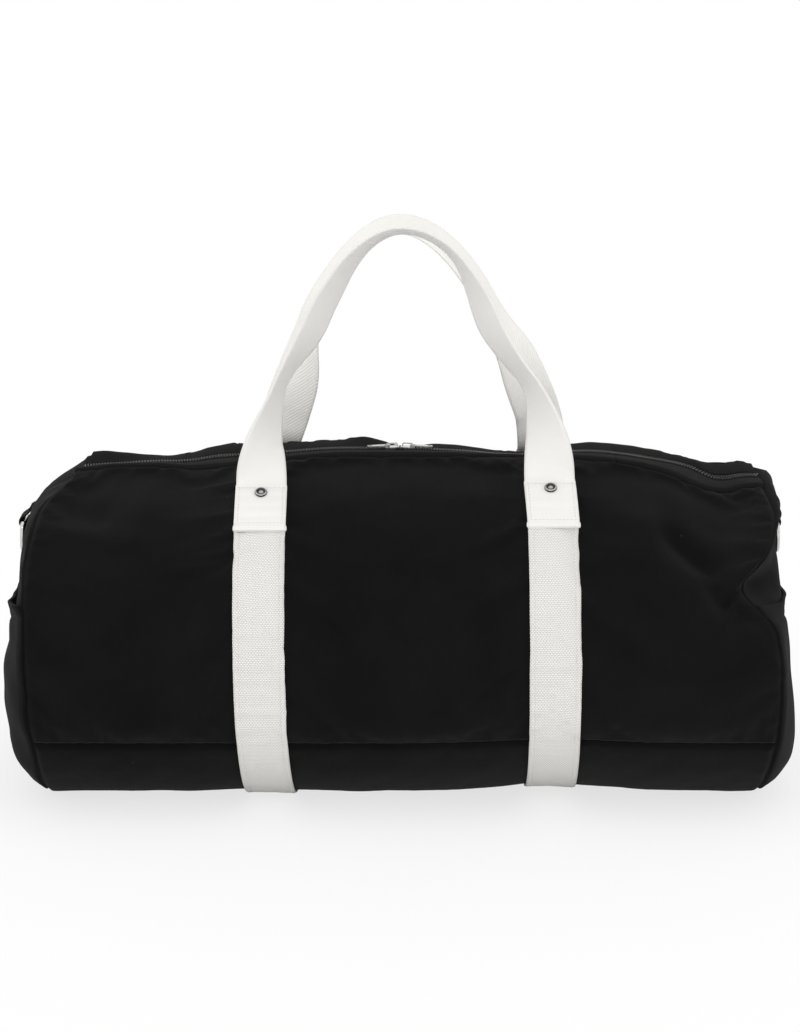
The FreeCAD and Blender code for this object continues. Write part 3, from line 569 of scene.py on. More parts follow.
def twill_material(name):
    """The back of the webbing: coarse slanting cords with shaded grooves."""
    nodes = new_material(name)
    solid, across, along = nodes.weave()
    cord = nodes.wave(nodes.math("MULTIPLY_ADD", across, -1.25, along), 0.0033)
    knot = nodes.wave(nodes.math("SUBTRACT", across, nodes.math("MULTIPLY", along, 0.4)), 0.0013)
    height = nodes.math("MULTIPLY_ADD", knot, 0.3, cord)
    fibre = nodes.noise(solid, 900, 3, 0.7)
    mottled = nodes.noise(solid, 60, 4, 0.6)
    shade = nodes.math("MULTIPLY_ADD", height, 0.30, nodes.math("MULTIPLY_ADD", fibre, 0.3, 0.35))
    return nodes.paint(
        Base_Color=nodes.mix(shade, (0.88, 0.865, 0.815, 1), (0.97, 0.955, 0.91, 1)),
        Roughness=nodes.spread(mottled, 0.80, 0.96),
        Normal=nodes.bump(height, 0.4, 0.0003, nodes.bump(fibre, 0.25, 0.0003)),
        Specular_IOR_Level=0.2,
    )


def metal_material(name, base, tint, rough):
    """Plated metal with faint polishing marks."""
    nodes = new_material(name)
    solid = nodes.weave()[0]
    cloud = nodes.noise(solid, 260, 4)
    fine = nodes.noise(solid, 2340, 2)
    marks = nodes.math("MULTIPLY_ADD", fine, 0.12, nodes.math("MULTIPLY", cloud, 0.1))
    return nodes.paint(
        Base_Color=nodes.mix(nodes.spread(cloud, -0.2, 1.2), base, tint),
        Roughness=nodes.math("ADD", marks, rough),
        Normal=nodes.bump(fine, 0.06, 0.0002),
        Metallic=1.0,
    )


def thread_material(name, base, tint, rough):
    """Spun thread or moulded coil: twist lines over a slightly uneven colour."""
    nodes = new_material(name)
    solid = nodes.weave()[0]
    cloud = nodes.noise(solid, 120, 3)
    ply = nodes.noise(solid, 2600, 2)
    tone = nodes.math("MULTIPLY_ADD", ply, 0.5, nodes.math("MULTIPLY", cloud, 0.5))
    return nodes.paint(
        Base_Color=nodes.mix(nodes.spread(tone, -0.3, 1.3), base, tint),
        Roughness=nodes.spread(cloud, rough - 0.1, rough + 0.1),
        Normal=nodes.bump(ply, 0.35, 0.0002),
    )


CANVAS_CLOTH = canvas_material("black_canvas", 0.0024, 0.0094)
STRIP_CLOTH = canvas_material("black_canvas_strip", 0.0065, 0.0125)
TAPE_CLOTH = canvas_material("zip_tape_cloth", 0.0040, 0.0080)
# Each webbing's darker colour is painted shade for the pits of its weave.
WEB_COARSE = webbing_material(
    "webbing_coarse", 0.0021, 0.0014, 0.5, (0.50, 0.485, 0.455, 1), (0.92, 0.905, 0.875, 1), 0.75, 0.00045
)
WEB_FINE = webbing_material(
    "webbing_fine", 0.0009, 0.0007, 0.34, (0.72, 0.705, 0.675, 1), (0.96, 0.945, 0.915, 1), 0.45, 0.00022
)
WEB_TWILL = twill_material("webbing_twill")
NICKEL = metal_material("nickel_plate", (0.48, 0.475, 0.46, 1), (0.70, 0.69, 0.67, 1), 0.13)
GUNMETAL = metal_material("gunmetal", (0.030, 0.030, 0.032, 1), (0.075, 0.073, 0.072, 1), 0.2)
# A lighter metal that paints a highlight on the rivet heads' ring crest and centre boss.
RIVET_HIGHLIGHT = metal_material("rivet_painted_highlight", (0.30, 0.295, 0.29, 1), (0.46, 0.455, 0.45, 1), 0.16)
WHITE_THREAD = thread_material("white_thread", (0.60, 0.585, 0.55, 1), (0.80, 0.785, 0.75, 1), 0.8)
COIL = thread_material("zip_coil_plastic", (0.020, 0.020, 0.020, 1), (0.150, 0.148, 0.143, 1), 0.24)


def fit_out(obj, slot, *materials, nodes=(), body="bag"):
    """Gives a piece its materials, the nodes that it replaces and the body that it rides on; slot is not
    used.
    """
    for material in materials:
        obj.data.materials.append(material)
    if nodes:
        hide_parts(*nodes)
    if body:
        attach(obj, body)
    return obj


CLOTH = {
    "quality": 6,
    "mass": 0.3,
    "tension_stiffness": 18,
    "compression_stiffness": 18,
    "shear_stiffness": 6,
    "bending_stiffness": 3.0,
    "air_damping": 2,
    "use_pressure": True,
    "uniform_pressure_force": 0.9,
    "shrink_min": -0.022,
    "vertex_group_mass": "sewn",
    "pin_stiffness": 1.0,
}
CLOTH_FRAMES = 24
CLOTH_GRAVITY = 0.35
# The farthest that the slack may move a point.
CLOTH_MOST = 0.006


def loosen():
    """Lets the barrel's cloth go slack between its seams and keeps how far each point moved."""
    columns, rows = 111, 168
    run = np.linspace(ZIP_TURN, GIRTH - ZIP_TURN, rows)
    grid_along, grid_run = np.meshgrid(np.linspace(-1, 1, columns), run)
    start = on_barrel(grid_along, grid_run)
    obj = add_object("slack_sheet", start, grid_faces(rows, columns))
    turn = np.abs(unwrap(grid_run))
    sewn = [
        hump(turn, ZIP_TURN, 0.006),
        hump(turn, BASE_TURN, 0.005),
        hump(1 - np.abs(grid_along), 0, 0.02),
        0.55 * (1 - ramp(np.abs(np.abs(start[..., 0]) - STRAP_X), 0.016, 0.024)),
        0.85 * ramp(turn, BASE_TURN, BASE_TURN + 0.03),
    ]
    group = obj.vertex_groups.new(name="sewn")
    for number, weight in enumerate(np.maximum.reduce(sewn).ravel()):
        group.add([number], float(weight), "REPLACE")
    cloth = obj.modifiers.new("Cloth", "CLOTH")
    for key, value in CLOTH.items():
        setattr(cloth.settings, key, value)
    cloth.settings.effector_weights.gravity = CLOTH_GRAVITY
    cloth.collision_settings.use_collision = False
    cloth.point_cache.frame_start = 1
    cloth.point_cache.frame_end = CLOTH_FRAMES
    scene = bpy.context.scene
    for number in range(1, CLOTH_FRAMES + 1):
        scene.frame_set(number)
    ready = obj.evaluated_get(bpy.context.evaluated_depsgraph_get())
    flat = np.empty(rows * columns * 3, np.float32)
    ready.data.vertices.foreach_get("co", flat)
    moved = flat.reshape(rows, columns, 3).astype(float) - start
    scene.frame_set(1)
    mesh = obj.data
    bpy.data.objects.remove(obj)
    bpy.data.meshes.remove(mesh)
    size = np.linalg.norm(moved, axis=-1, keepdims=True)
    moved = moved * CLOTH_MOST / np.sqrt(CLOTH_MOST**2 + size**2)
    moved = moved * (1 - 0.85 * ramp(turn, BASE_TURN - 0.006, BASE_TURN + 0.012))[..., None]
    SLACK["moved"] = moved
    SLACK["run"] = (run[0], run[-1])


loosen()

# The barrel's three panels. Half the gap at a seam, the width of a turned-in edge, and the half
# length that the weave and the puckers are measured on.
SEAM_GAP = 0.0003
TURN_IN = 0.005
PANEL_REACH = 0.275


def panel(name, first_run, last_run, node, rows, seed):
    """A sewn panel of the barrel, turned in at its seams, with puckers beside the stitches."""
    crowded = np.linspace(0, 1, 7)[:-1] ** 1.4
    edge = crowded * 0.020
    along = np.concatenate([-1 + edge, np.linspace(-0.98, 0.98, 240), 1 - edge[::-1]])
    way = 1 if last_run > first_run else -1
    turn = way * crowded * TURN_IN
    inside = np.linspace(first_run + way * TURN_IN, last_run - way * TURN_IN, rows)
    run = np.concatenate([first_run + turn, inside, last_run - turn[::-1]])
    grid_along, grid_run = np.meshgrid(along, run)
    place = grid_along * PANEL_REACH
    from_end = (1 - np.abs(grid_along)) * PANEL_REACH
    from_first = np.abs(grid_run - first_run)
    from_last = np.abs(grid_run - last_run)
    from_long = np.minimum(from_first, from_last)
    rough = 0.0004 * np.exp(-from_long / 0.011) * ripple(seed, 0.014, 0.04, place)
    rough = rough * (1 - 0.7 * np.exp(-from_first / 0.02))
    rough = rough + 0.0003 * np.exp(-from_end / 0.012) * ripple(seed + 5, 0.011, 0.05, grid_run)
    rough = rough + 0.00035 * ripple(seed + 9, 0.022, 0.075, place, grid_run)
    dip = np.maximum.reduce([np.exp(-((gap / 0.0022) ** 2)) for gap in (from_end, from_first, from_last)])
    off = rough * ramp(from_end, 0, 0.005) * ramp(from_long, 0, 0.004) - SEAM_DIP * dip
    obj = cloth_grid(name, on_barrel(grid_along, grid_run, off), np.stack([place, grid_run], -1), CANVAS)
    fit_out(obj, "canvas", CANVAS_CLOTH, nodes=[node])


FRONT_TOP = ZIP_TURN + SEAM_GAP
FRONT_LOW = BASE_TURN - SEAM_GAP
BASE_FIRST = BASE_TURN + SEAM_GAP
panel("front_panel_cloth", FRONT_TOP, FRONT_LOW, "front_panel", 120, 11)
panel("back_panel_cloth", GIRTH - FRONT_TOP, GIRTH - FRONT_LOW, "back_panel", 120, 23)
panel("base_panel_cloth", BASE_FIRST, GIRTH - BASE_FIRST, "base_panel", 160, 37)

# The round ends: a full panel with a slip pocket over its lower half. How far each stands out along
# its middle, by height: the panel, and the pocket over it.
PANEL_CROWN = {
    1: Profile(
        0.003,
        (0, 271), (9, 278), (17, 284), (33, 289), (60, 290), (120, 290.5), (150, 291), (165, 290.5),
        (176, 289), (185, 288), (197, 286), (206, 286), (214, 288.5), (219, 292), (226, 292), (233, 288.5),
        (240, 281), (246, 276),
    ),
    -1: Profile(
        0.003,
        (0, 267), (9, 276), (17, 282), (33, 287), (60, 290), (120, 290.5), (150, 290.5), (165, 290),
        (185, 288), (197, 286.5), (208, 286), (214, 284.5), (219, 281), (225, 277), (230, 268), (234, 258),
        (241, 248), (249, 242),
    ),
}
POCKET_CROWN = {
    1: Profile(
        0.003,
        (0, 270), (9, 283), (17, 292), (33, 301.5), (49, 302), (65, 300.5), (97, 297), (113, 294.5),
        (137, 292), (160, 291),
    ),
    -1: Profile(
        0.003,
        (0, 267), (9, 280), (17, 288), (33, 296), (49, 298.5), (81, 301), (113, 299), (137, 294),
        (160, 292),
    ),
}
END_CENTRE_Z = 0.118
CROWN_POWER = 5
# How far the upper part of each end has fallen in at the back.
END_HOLLOW = {1: 0.0, -1: 0.009}
POCKET_PROUD = 0.0018
POCKET_THICK = 0.0026
POCKET_SCALE = 0.988
# Height of a pocket's mouth at its corners and how far it sinks in the middle.
POCKET_MOUTH = {1: (0.177, 0.012), -1: (0.172, 0.014)}
RIM = 0.974


def half_width(z):
    """Half the depth of the barrel's outline at height z."""
    top = np.sqrt(np.clip(HALF_DEPTH**2 - np.clip(z - ARC_Z, 0, None) ** 2, 0, None))
    low = LOW_Y + np.sqrt(np.clip(BASE_RADIUS**2 - np.clip(LOW_Z - z, 0, None) ** 2, 0, None))
    return np.where(z > ARC_Z, top, np.where(z < LOW_Z, low, HALF_DEPTH))


def end_point(side, y, z, crown, proud):
    """A point of a domed end at (y, z), standing out as far as crown says along its middle."""
    slump = (FRONT_SAG(side * 0.285) + BACK_SAG(side * 0.285)) / 2
    height = z + slump * slumped(z)
    share = np.clip(np.abs(y) / (half_width(z) + 1e-6), 0, 1) ** CROWN_POWER
    hollow = END_HOLLOW[side] * ramp(y, 0.0, 0.06) * ramp(height, 0.192, 0.220)
    x = (crown(height) - hollow) * (1 - share) + seam_reach(side, y, z) * share + proud
    return settle(np.stack([side * x, y, z], -1))


def end_panel(side, word):
    rings = np.concatenate([[0.978], np.linspace(RIM, 0.9, 12), np.linspace(0.88, 0.03, 34)])[:, None]
    run = np.linspace(0, GIRTH, 361)[:-1]
    outline_y, outline_z = section(unwrap(run))[:2]
    y = rings * outline_y
    z = END_CENTRE_Z + rings * (outline_z - END_CENTRE_Z)
    fade = 1 - ramp(np.hypot(y, z - END_CENTRE_Z), 0.09, 0.138)
    rough = 0.0008 * ripple(60 + side, 0.03, 0.09, y, z) * fade
    inset = (RIM - rings) * HALF_DEPTH
    pucker = ripple(70 + side, 0.012, 0.04, run) * np.exp(-inset / 0.012) * ramp(inset, 0, 0.004)
    points = end_point(side, y, z, PANEL_CROWN[side], rough)
    points[..., 0] += side * 0.0009 * pucker
    points[0] = on_barrel(np.full_like(run, side), run, -SEAM_DIP)
    obj = cloth_grid(word + "_end_cloth", points, np.stack([y, z], -1), CANVAS, wrap=True)
    fill_hub(fit_out(obj, "canvas", CANVAS_CLOTH, nodes=[word + "_end_panel"]))


def fill_hub(obj):
    """Closes the small ring of edges left at the middle of an end panel."""
    work = bmesh.new()
    work.from_mesh(obj.data)
    middle = []
    for edge in work.edges:
        if edge.is_boundary and max(abs(vert.co.y) for vert in edge.verts) < 0.03:
            middle.append(edge)
    bmesh.ops.holes_fill(work, edges=middle, sides=0)
    work.to_mesh(obj.data)
    work.free()
    obj.data.polygons.foreach_set("use_smooth", [True] * len(obj.data.polygons))
    obj.data.update()


def pocket_grid(side):
    """(y, z) of the pocket from the base seam up to its mouth, which sags in the middle."""
    rows, columns = 46, 90
    corner, sink = POCKET_MOUTH[side]
    s = np.linspace(-1, 1, columns)
    v = np.linspace(0, 1, rows)[:, None]
    u = ((s + 1) / 2)[None, :]
    low_turn = SIDE_END + 0.035
    low_run = low_turn + (GIRTH - 2 * low_turn) * (s + 1) / 2
    corner_turn = HALF_DEPTH * math.acos((corner - ARC_Z) / HALF_DEPTH)
    edge_turn = low_turn + (corner_turn - low_turn) * v[:, 0]
    low = section(unwrap(low_run))[:2]
    front = section(edge_turn)[:2]
    back = section(-edge_turn)[:2]
    top = np.linspace(front[0][-1], back[0][-1], columns), corner - sink * (1 - np.abs(s) ** 2.4)
    grids = []
    for below, above, first, last in zip(low, top, front, back):
        edges = (1 - v) * below + v * above + (1 - u) * first[:, None] + u * last[:, None]
        corners = (1 - v) * ((1 - u) * below[0] + u * below[-1]) + v * ((1 - u) * above[0] + u * above[-1])
        grids.append(edges - corners)
    return grids


def end_pocket(side, word):
    y, z = pocket_grid(side)
    y = y * POCKET_SCALE
    z = END_CENTRE_Z + (z - END_CENTRE_Z) * POCKET_SCALE
    rows, columns = y.shape
    from_side = np.minimum(np.arange(columns), np.arange(columns)[::-1])[None, :]
    sewn = ramp(from_side, 0, 2) * ramp(np.arange(rows), 0, 2)[:, None]
    rough = 0.0009 * ripple(80 + side, 0.03, 0.08, y, z)
    points = end_point(side, y, z, POCKET_CROWN[side], rough + POCKET_PROUD * sewn)
    from_mouth = np.arange(rows)[::-1][:, None]
    points[..., 0] += side * (0.0026 * hump(from_mouth, 0, 1.6) - 0.0012 * hump(from_mouth, 4.0, 0.8))
    obj = cloth_grid(word + "_pocket_cloth", points, np.stack([y, z], -1), POCKET_THICK)
    fit_out(obj, "canvas", CANVAS_CLOTH, nodes=[word + "_end_pocket"])


for build in (end_panel, end_pocket):
    for side, word in SIDES:
        build(side, word)

# The zip band: facing strips, tapes and coils, each built as a middle piece and two end pieces.
CHAIN_Z = 0.2573
STRIP_EDGE = 0.0060
STRIP_THICK = 0.0010
LIP_END = 0.1655
ZIP_SEAM_Z = 0.258
ZIP_STEP = 0.003
# The tape from its sewn edge to the chain: distance from the middle, and how far it falls there.
TAPE_Y = np.array([0.0203, 0.012, 0.0014])
TAPE_FALL = np.array([0.0012, 0.0006, 0])
TAPE_TOP = CHAIN_Z - 0.0003
TAPE_LOW = CHAIN_Z - 0.0009
TOOTH_PITCH = 0.0022
TOOTH_SIZE = (0.0032, 0.0010, 0.0018)
TOOTH_SLANT = 0.2
TOOTH_Y = 0.0016
TOOTH_LIFT = 0.0002
PART_WORD = {0: "", -1: "_left", 1: "_right"}


def zip_point(x, y, z):
    return settle(np.stack(np.broadcast_arrays(x, y, z), -1))


def strip_section(sign_y):
    """(y, z) of a facing strip: seam, crowned face, rolled free edge, back."""
    seam = ZIP_HALF - 0.0002
    face = np.linspace(0, 1, 12)
    top_y = seam + (STRIP_EDGE - seam) * face
    seam_z = ARC_Z + math.sqrt(HALF_DEPTH**2 - ZIP_HALF**2)
    top_z = seam_z + (CHAIN_Z + 0.0003 - seam_z) * face + 0.0012 * np.sin(math.pi * face**0.75) ** 0.8
    top_z = top_z - 0.0028 * hump(top_y, seam, 0.0018)
    roll = np.linspace(0.15, 0.85, 5) * math.pi
    roll_y = STRIP_EDGE - STRIP_THICK / 2 * np.sin(roll)
    roll_z = top_z[-1] - STRIP_THICK / 2 + STRIP_THICK / 2 * np.cos(roll)
    y = np.concatenate([top_y, roll_y, top_y[::-1]])
    z = np.concatenate([top_z, roll_z, top_z[::-1] - STRIP_THICK])
    return sign_y * y, z


def zip_piece(obj, slot, material, part, node=None):
    """Fits out a piece of the zip band and bakes its placement into its mesh."""
    fit_out(obj, slot, material, nodes=[node] if node else [], body=None)
    if part == 0:
        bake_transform(obj)
    else:
        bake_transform(obj)


def zip_spans():
    """The middle of the zip and its two ends: (part, first x, last x)."""
    left = -float(seam_reach(-1, 0.0, ZIP_SEAM_Z))
    right = float(seam_reach(1, 0.0, ZIP_SEAM_Z))
    return ((0, -LIP_END, LIP_END), (-1, left, -LIP_END), (1, LIP_END, right))


def zip_cloth(name, x, part, y, z, flip):
    """A strip or tape through stations x; the end pieces run out to the end seam, which lies at a slant."""
    grid_x = np.broadcast_to(x[:, None], (len(x), len(y)))
    if part != 0:
        share = (np.abs(x) - LIP_END) / (np.abs(x).max() - LIP_END)
        reach = seam_reach(part, y, ZIP_SEAM_Z)
        grid_x = part * (LIP_END + share[:, None] * (reach[None, :] - LIP_END))
    uvs = np.stack(np.broadcast_arrays(grid_x, y[None, :]), -1)
    return sweep(name, zip_point(grid_x, y[None, :], z), uvs, flip)


def coil_teeth(name, first, last, sign_y):
    number = np.arange(math.floor(first / TOOTH_PITCH), math.ceil(last / TOOTH_PITCH) + 1)
    place = number * TOOTH_PITCH + (0 if sign_y > 0 else TOOTH_PITCH / 4)
    place = place[(place > first) & (place < last)]
    middle = (sign_y * TOOTH_Y, CHAIN_Z + TOOTH_LIFT)
    centres = zip_point(place, *middle)
    ahead = unit(zip_point(place + 0.001, *middle) - centres)
    over = np.tile([0.0, 1.0, 0.0], (len(place), 1))
    return scatter(name, centres, over + TOOTH_SLANT * ahead * sign_y, np.cross(ahead, over), TOOTH_SIZE)


for word, sign_y in (("front", -1), ("back", 1)):
    for part, first, last in zip_spans():
        x = np.linspace(first, last, max(3, int(abs(last - first) / ZIP_STEP) + 1))
        y, z = strip_section(sign_y)
        beside_seam = np.exp(-(ZIP_HALF - np.abs(y)) / 0.006)
        pucker = 0.0002 * ripple(90 + sign_y, 0.012, 0.04, x)[:, None] * beside_seam[None, :]
        strip = zip_cloth(word + "_strip_cloth" + PART_WORD[part], x, part, y, z + pucker, sign_y > 0)
        strip_node = word + "_zip_strip"
        if part != 0:
            # The front strip's end pieces cover the sewn ends of the zip.
            strip_node = PART_WORD[part][1:] + "_zip_end" if word == "front" else None
        zip_piece(strip, "canvas", STRIP_CLOTH, part, strip_node)

        tape_y = sign_y * np.concatenate([TAPE_Y, TAPE_Y[::-1]])
        tape_z = np.concatenate([TAPE_TOP - TAPE_FALL, TAPE_LOW - TAPE_FALL[::-1]])
        tape = zip_cloth(word + "_tape_cloth" + PART_WORD[part], x, part, tape_y, tape_z, sign_y > 0)
        zip_piece(tape, "zip_tape", TAPE_CLOTH, part, word + "_zip_tape" if part == 0 else None)

        coil = coil_teeth(word + "_coil_teeth" + PART_WORD[part], first, last, sign_y)
        zip_piece(coil, "zip_coil", COIL, part, word + "_coil" if part == 0 else None)

# Body straps: flat webbing sewn round the barrel, its long edges stitched down.
STRAP_SHIFT = {
    1: Profile(0.02, (0, 4.5), (60, 5.5), (105, 8), (250, 8.5), (300, 8.5), (600, 6), (878, 5)),
    -1: Profile(
        0.03, (0, 2.5), (150, 2.0), (240, 2.5), (300, 5), (360, 9), (440, 10), (600, 8), (878, 7.5)
    ),
}
STRAP_FIRST = HALF_DEPTH * math.radians(26.5)
STRAP_PROUD = 0.0013
STITCH_PROUD = 0.0021
STITCH_LINE = 0.0150
STITCH_PITCH = 0.0034
STRAP_STITCH = (0.0026, 0.0007, 0.0006)
STRAP_COLUMNS = 18


def strap_x(side, run):
    return side * STRAP_X + STRAP_SHIFT[side](run)


def strap_point(side, angle, back, proud):
    """A point on the middle of a strap, angle round from the top to the front or the back."""
    run = np.array([HALF_DEPTH * angle])
    run = GIRTH - run if back else run
    return at_x(strap_x(side, run), run, proud)[0]


def strap_normal(side, run):
    """Outward direction of a strap at each run."""
    x = strap_x(side, run)
    over = unit(at_x(x + 0.012, run, STITCH_PROUD) - at_x(x - 0.012, run, STITCH_PROUD))
    ahead = unit(at_x(x, run + 0.004, STITCH_PROUD) - at_x(x, run - 0.004, STITCH_PROUD))
    normal = unit(np.cross(ahead, over))
    outward = np.stack(section(unwrap(run))[2:], -1)
    return normal * np.sign((normal[:, 1:] * outward).sum(-1, keepdims=True))


def strap_loop(side, run):
    """Cross-sections of the strap that follow the cloth under it across its width."""
    place, half = band_profile(WEB_WIDTH, WEB_THICK, STRAP_COLUMNS, 0.0009, 0.75)
    groove = 0.00035 * hump(np.abs(place), STITCH_LINE, 0.0009)
    selvage = 0.00020 * hump(np.abs(place), 0.0172, 0.0010)
    grid_x = strap_x(side, run)[:, None] + place[None, :]
    grid_run = np.broadcast_to(run[:, None], grid_x.shape)
    rough = 0.00012 * ripple(120 + side, 0.006, 0.03, grid_x, grid_run)
    top = at_x(grid_x, grid_run, STRAP_PROUD + half - groove + selvage + rough)
    low = at_x(grid_x[:, ::-1], grid_run, STRAP_PROUD - half[::-1])
    uvs = np.stack(np.broadcast_arrays(round_band(place, WEB_WIDTH)[None, :], run[:, None]), -1)
    return np.concatenate([top, low], 1), uvs


for side, word in SIDES:
    loops, uvs = strap_loop(side, np.linspace(STRAP_FIRST, GIRTH - STRAP_FIRST, 300))
    strap = sweep(word + "_strap_webbing", loops, uvs)
    fit_out(strap, "webbing", WEB_COARSE, nodes=[word + "_body_strap"])
    steps = np.arange(STRAP_FIRST + 0.004, GIRTH - STRAP_FIRST - 0.004, STITCH_PITCH)
    centres, ways = [], []
    for edge in (-1, 1):
        x = strap_x(side, steps) + edge * STITCH_LINE
        centres.append(at_x(x, steps, STITCH_PROUD))
        ways.append(at_x(x, steps + 0.002, STITCH_PROUD) - at_x(x, steps - 0.002, STITCH_PROUD))
    ups = np.tile(strap_normal(side, steps), (2, 1))
    centres, ways = np.concatenate(centres), np.concatenate(ways)
    stitch = scatter(word + "_strap_stitches", centres, ways, ups, STRAP_STITCH)
    fit_out(stitch, "webbing", WHITE_THREAD)

# Handles: sewn flat on the straps, bent up at the stitch line, twisted to lie flat over the arch.
HANDLE_ANGLE = math.radians(26)
HINGE_RADIUS = 0.1459
FOOT = np.array([0, -HINGE_RADIUS * math.sin(HANDLE_ANGLE), ARC_Z + HINGE_RADIUS * math.cos(HANDLE_ANGLE)])
CREST = np.array([0, -0.020, 0.4322])
LEAN = unit(CREST - FOOT)
FLAT_WAY = np.cross(SIDE_WAY, LEAN)
HEM_ANGLE = math.radians(45.3)
PATCH_TOP = math.radians(27.2)
PATCH_PROUD = 0.0035
LEG_JOIN = 0.030
LEG_LIFT = 0.003
DROP_FADE = 0.15
LINE_BLUR = 7
BEND_ROWS = 18
BAND_COLUMNS = 16
# What the folded hem of a sewn end adds to its thickness, height and width.
HEM_THICK = 0.0011
HEM_LIFT = 0.00055
HEM_WIDE = 0.0014
PATCH_WIDE = 0.0008

# Each handle's line in its leaning plane, foot to crest: (out from the middle, up), millimetres.
HANDLE_LINE = {
    ("front", -1): [
        (104.5, 0), (104.8, 12), (103.3, 25.7), (99.9, 41), (95, 56), (91.8, 67.3), (89.3, 75), (81.8, 86),
        (76.5, 94), (71.2, 101.4), (66.6, 108), (62.8, 116.5), (56.4, 130), (49.6, 140.7), (42, 154.3),
        (34.4, 164), (24, 174.5), (12, 182), (0, 185),
    ],
    ("front", 1): [
        (111.5, 0), (111.3, 12), (110.1, 25.7), (107, 41), (103.7, 56), (100, 65.8), (97.3, 71),
        (91.2, 78.7), (84.8, 86), (79, 94), (74.2, 101.4), (69.6, 109), (65.9, 116.5), (60.2, 131.6),
        (52.8, 146.7), (44.5, 162), (31.5, 174.5), (16, 182.5), (0, 185),
    ],
    ("back", -1): [
        (98, 0), (92.5, 14), (86.5, 34), (80.5, 52.7), (76.8, 68), (74.5, 80.8), (72, 93), (70, 104),
        (65.5, 115), (58.5, 128), (50, 142), (42, 154), (30, 168), (15.5, 180), (0, 185),
    ],
    ("back", 1): [
        (116, 0), (116.2, 14), (111, 34), (103.3, 51), (92.4, 76), (83.8, 89), (76, 102), (69, 115),
        (62.5, 128), (54.5, 142), (43.5, 157), (30, 171), (15, 181), (0, 185),
    ],
}
# How far each leg has turned about its own line, degrees by millimetres from the foot.
HANDLE_TURN = {
    ("front", -1): [
        (0, 0), (14, 20), (26, 38), (42, 55), (58, 68), (71, 76), (80, 80), (95, 78), (105, 73), (115, 68),
        (135, 63), (161, 67.5), (179, 72), (192, 76), (212, 83), (242, 90),
    ],
    ("front", 1): [
        (0, 0), (14, 14), (26, 30), (41, 47), (57, 62), (68, 71), (77, 76), (87, 76), (105, 71), (133, 63),
        (150, 67), (169, 76), (189, 85), (210, 88), (242, 90),
    ],
    ("back", -1): [
        (0, 0), (17, 10), (34, 16), (53, 21), (69, 33), (82, 43), (93, 53), (105, 62), (120, 68), (150, 72),
        (180, 76), (205, 80), (226, 85), (242, 90),
    ],
    ("back", 1): [
        (0, 0), (17, 18), (34, 24), (52, 26), (78, 38), (92, 50), (106, 62), (120, 68), (150, 72),
        (180, 76), (205, 80), (226, 85), (242, 90),
    ],
}


def soften(values, reach):
    """Smooths rows of values along the first axis, keeping the two end rows."""
    kernel = np.exp(-0.5 * (np.arange(-3 * reach, 3 * reach + 1) / reach) ** 2)
    kernel = kernel / kernel.sum()
    head = 2 * values[:1] - values[3 * reach : 0 : -1]
    tail = 2 * values[-1:] - values[-2 : -3 * reach - 2 : -1]
    padded = np.concatenate([head, values, tail])
    return np.stack([np.convolve(column, kernel, mode="valid") for column in padded.T], 1)


def handle_line(word):
    """The handle's middle line in its plane from the left foot to the right, a point each millimetre."""
    left = np.array(HANDLE_LINE[word, -1]) / 1000
    right = np.array(HANDLE_LINE[word, 1]) / 1000
    whole = np.concatenate([left * np.array([-1, 1]), right[::-1][1:]])
    run = travelled(whole)
    even = np.linspace(0, run[-1], int(run[-1] * 1000) + 1)
    return soften(np.stack([np.interp(even, run, column) for column in whole.T], 1), LINE_BLUR)


def handle_frames(word):
    """Centre, across and face of the webbing along the free part of a handle, seen as the front one."""
    line = handle_line(word)
    way = unit(np.gradient(line, axis=0))
    run = travelled(line)
    crest = run[int(np.argmin(np.abs(line[:, 0])))]
    outer = np.where(run < crest, -1.0, 1.0)
    from_foot = np.where(run < crest, run, run[-1] - run)
    turn = np.zeros(len(line))
    for side in (-1, 1):
        places, degrees = np.array(HANDLE_TURN[word, side], float).T
        reach = crest if side < 0 else run[-1] - crest
        placed = places / places[-1] * reach
        turn = np.where(outer == side, np.interp(from_foot, placed, np.radians(degrees)), turn)
    turn = soften(turn[:, None], LINE_BLUR)
    centre = FOOT + line[:, :1] * SIDE_WAY + line[:, 1:] * LEAN
    left = -way[:, 1:] * SIDE_WAY + way[:, :1] * LEAN
    # Going from left foot to right foot, the edge on the left of the path is the outer edge of the
    # arch; turning brings it to the front, so that the outer face becomes the underside.
    across = left * np.cos(turn) + FLAT_WAY * np.sin(turn)
    face = FLAT_WAY * np.cos(turn) - left * np.sin(turn)
    return centre, across, face, from_foot, outer


def patch_frames(side, back):
    """Frames of a sewn handle end from its hem up to the stitch line, on the cloth where it lies."""
    frames = []
    for angle in np.linspace(HEM_ANGLE, PATCH_TOP, 44):
        centre = strap_point(side, angle, back, PATCH_PROUD)
        if back:
            centre = centre * np.array([1, -1, 1])
        share = (angle - HANDLE_ANGLE) / (HEM_ANGLE - HANDLE_ANGLE)
        out = np.array([0, -math.sin(angle), math.cos(angle)])
        frames.append((centre, SIDE_WAY * side, out, share))
    return frames


def hermite(first, first_way, last, last_way, share):
    a = 2 * share**3 - 3 * share**2 + 1
    b = share**3 - 2 * share**2 + share
    c = -2 * share**3 + 3 * share**2
    d = share**3 - share**2
    return a * first + b * first_way + c * last + d * last_way


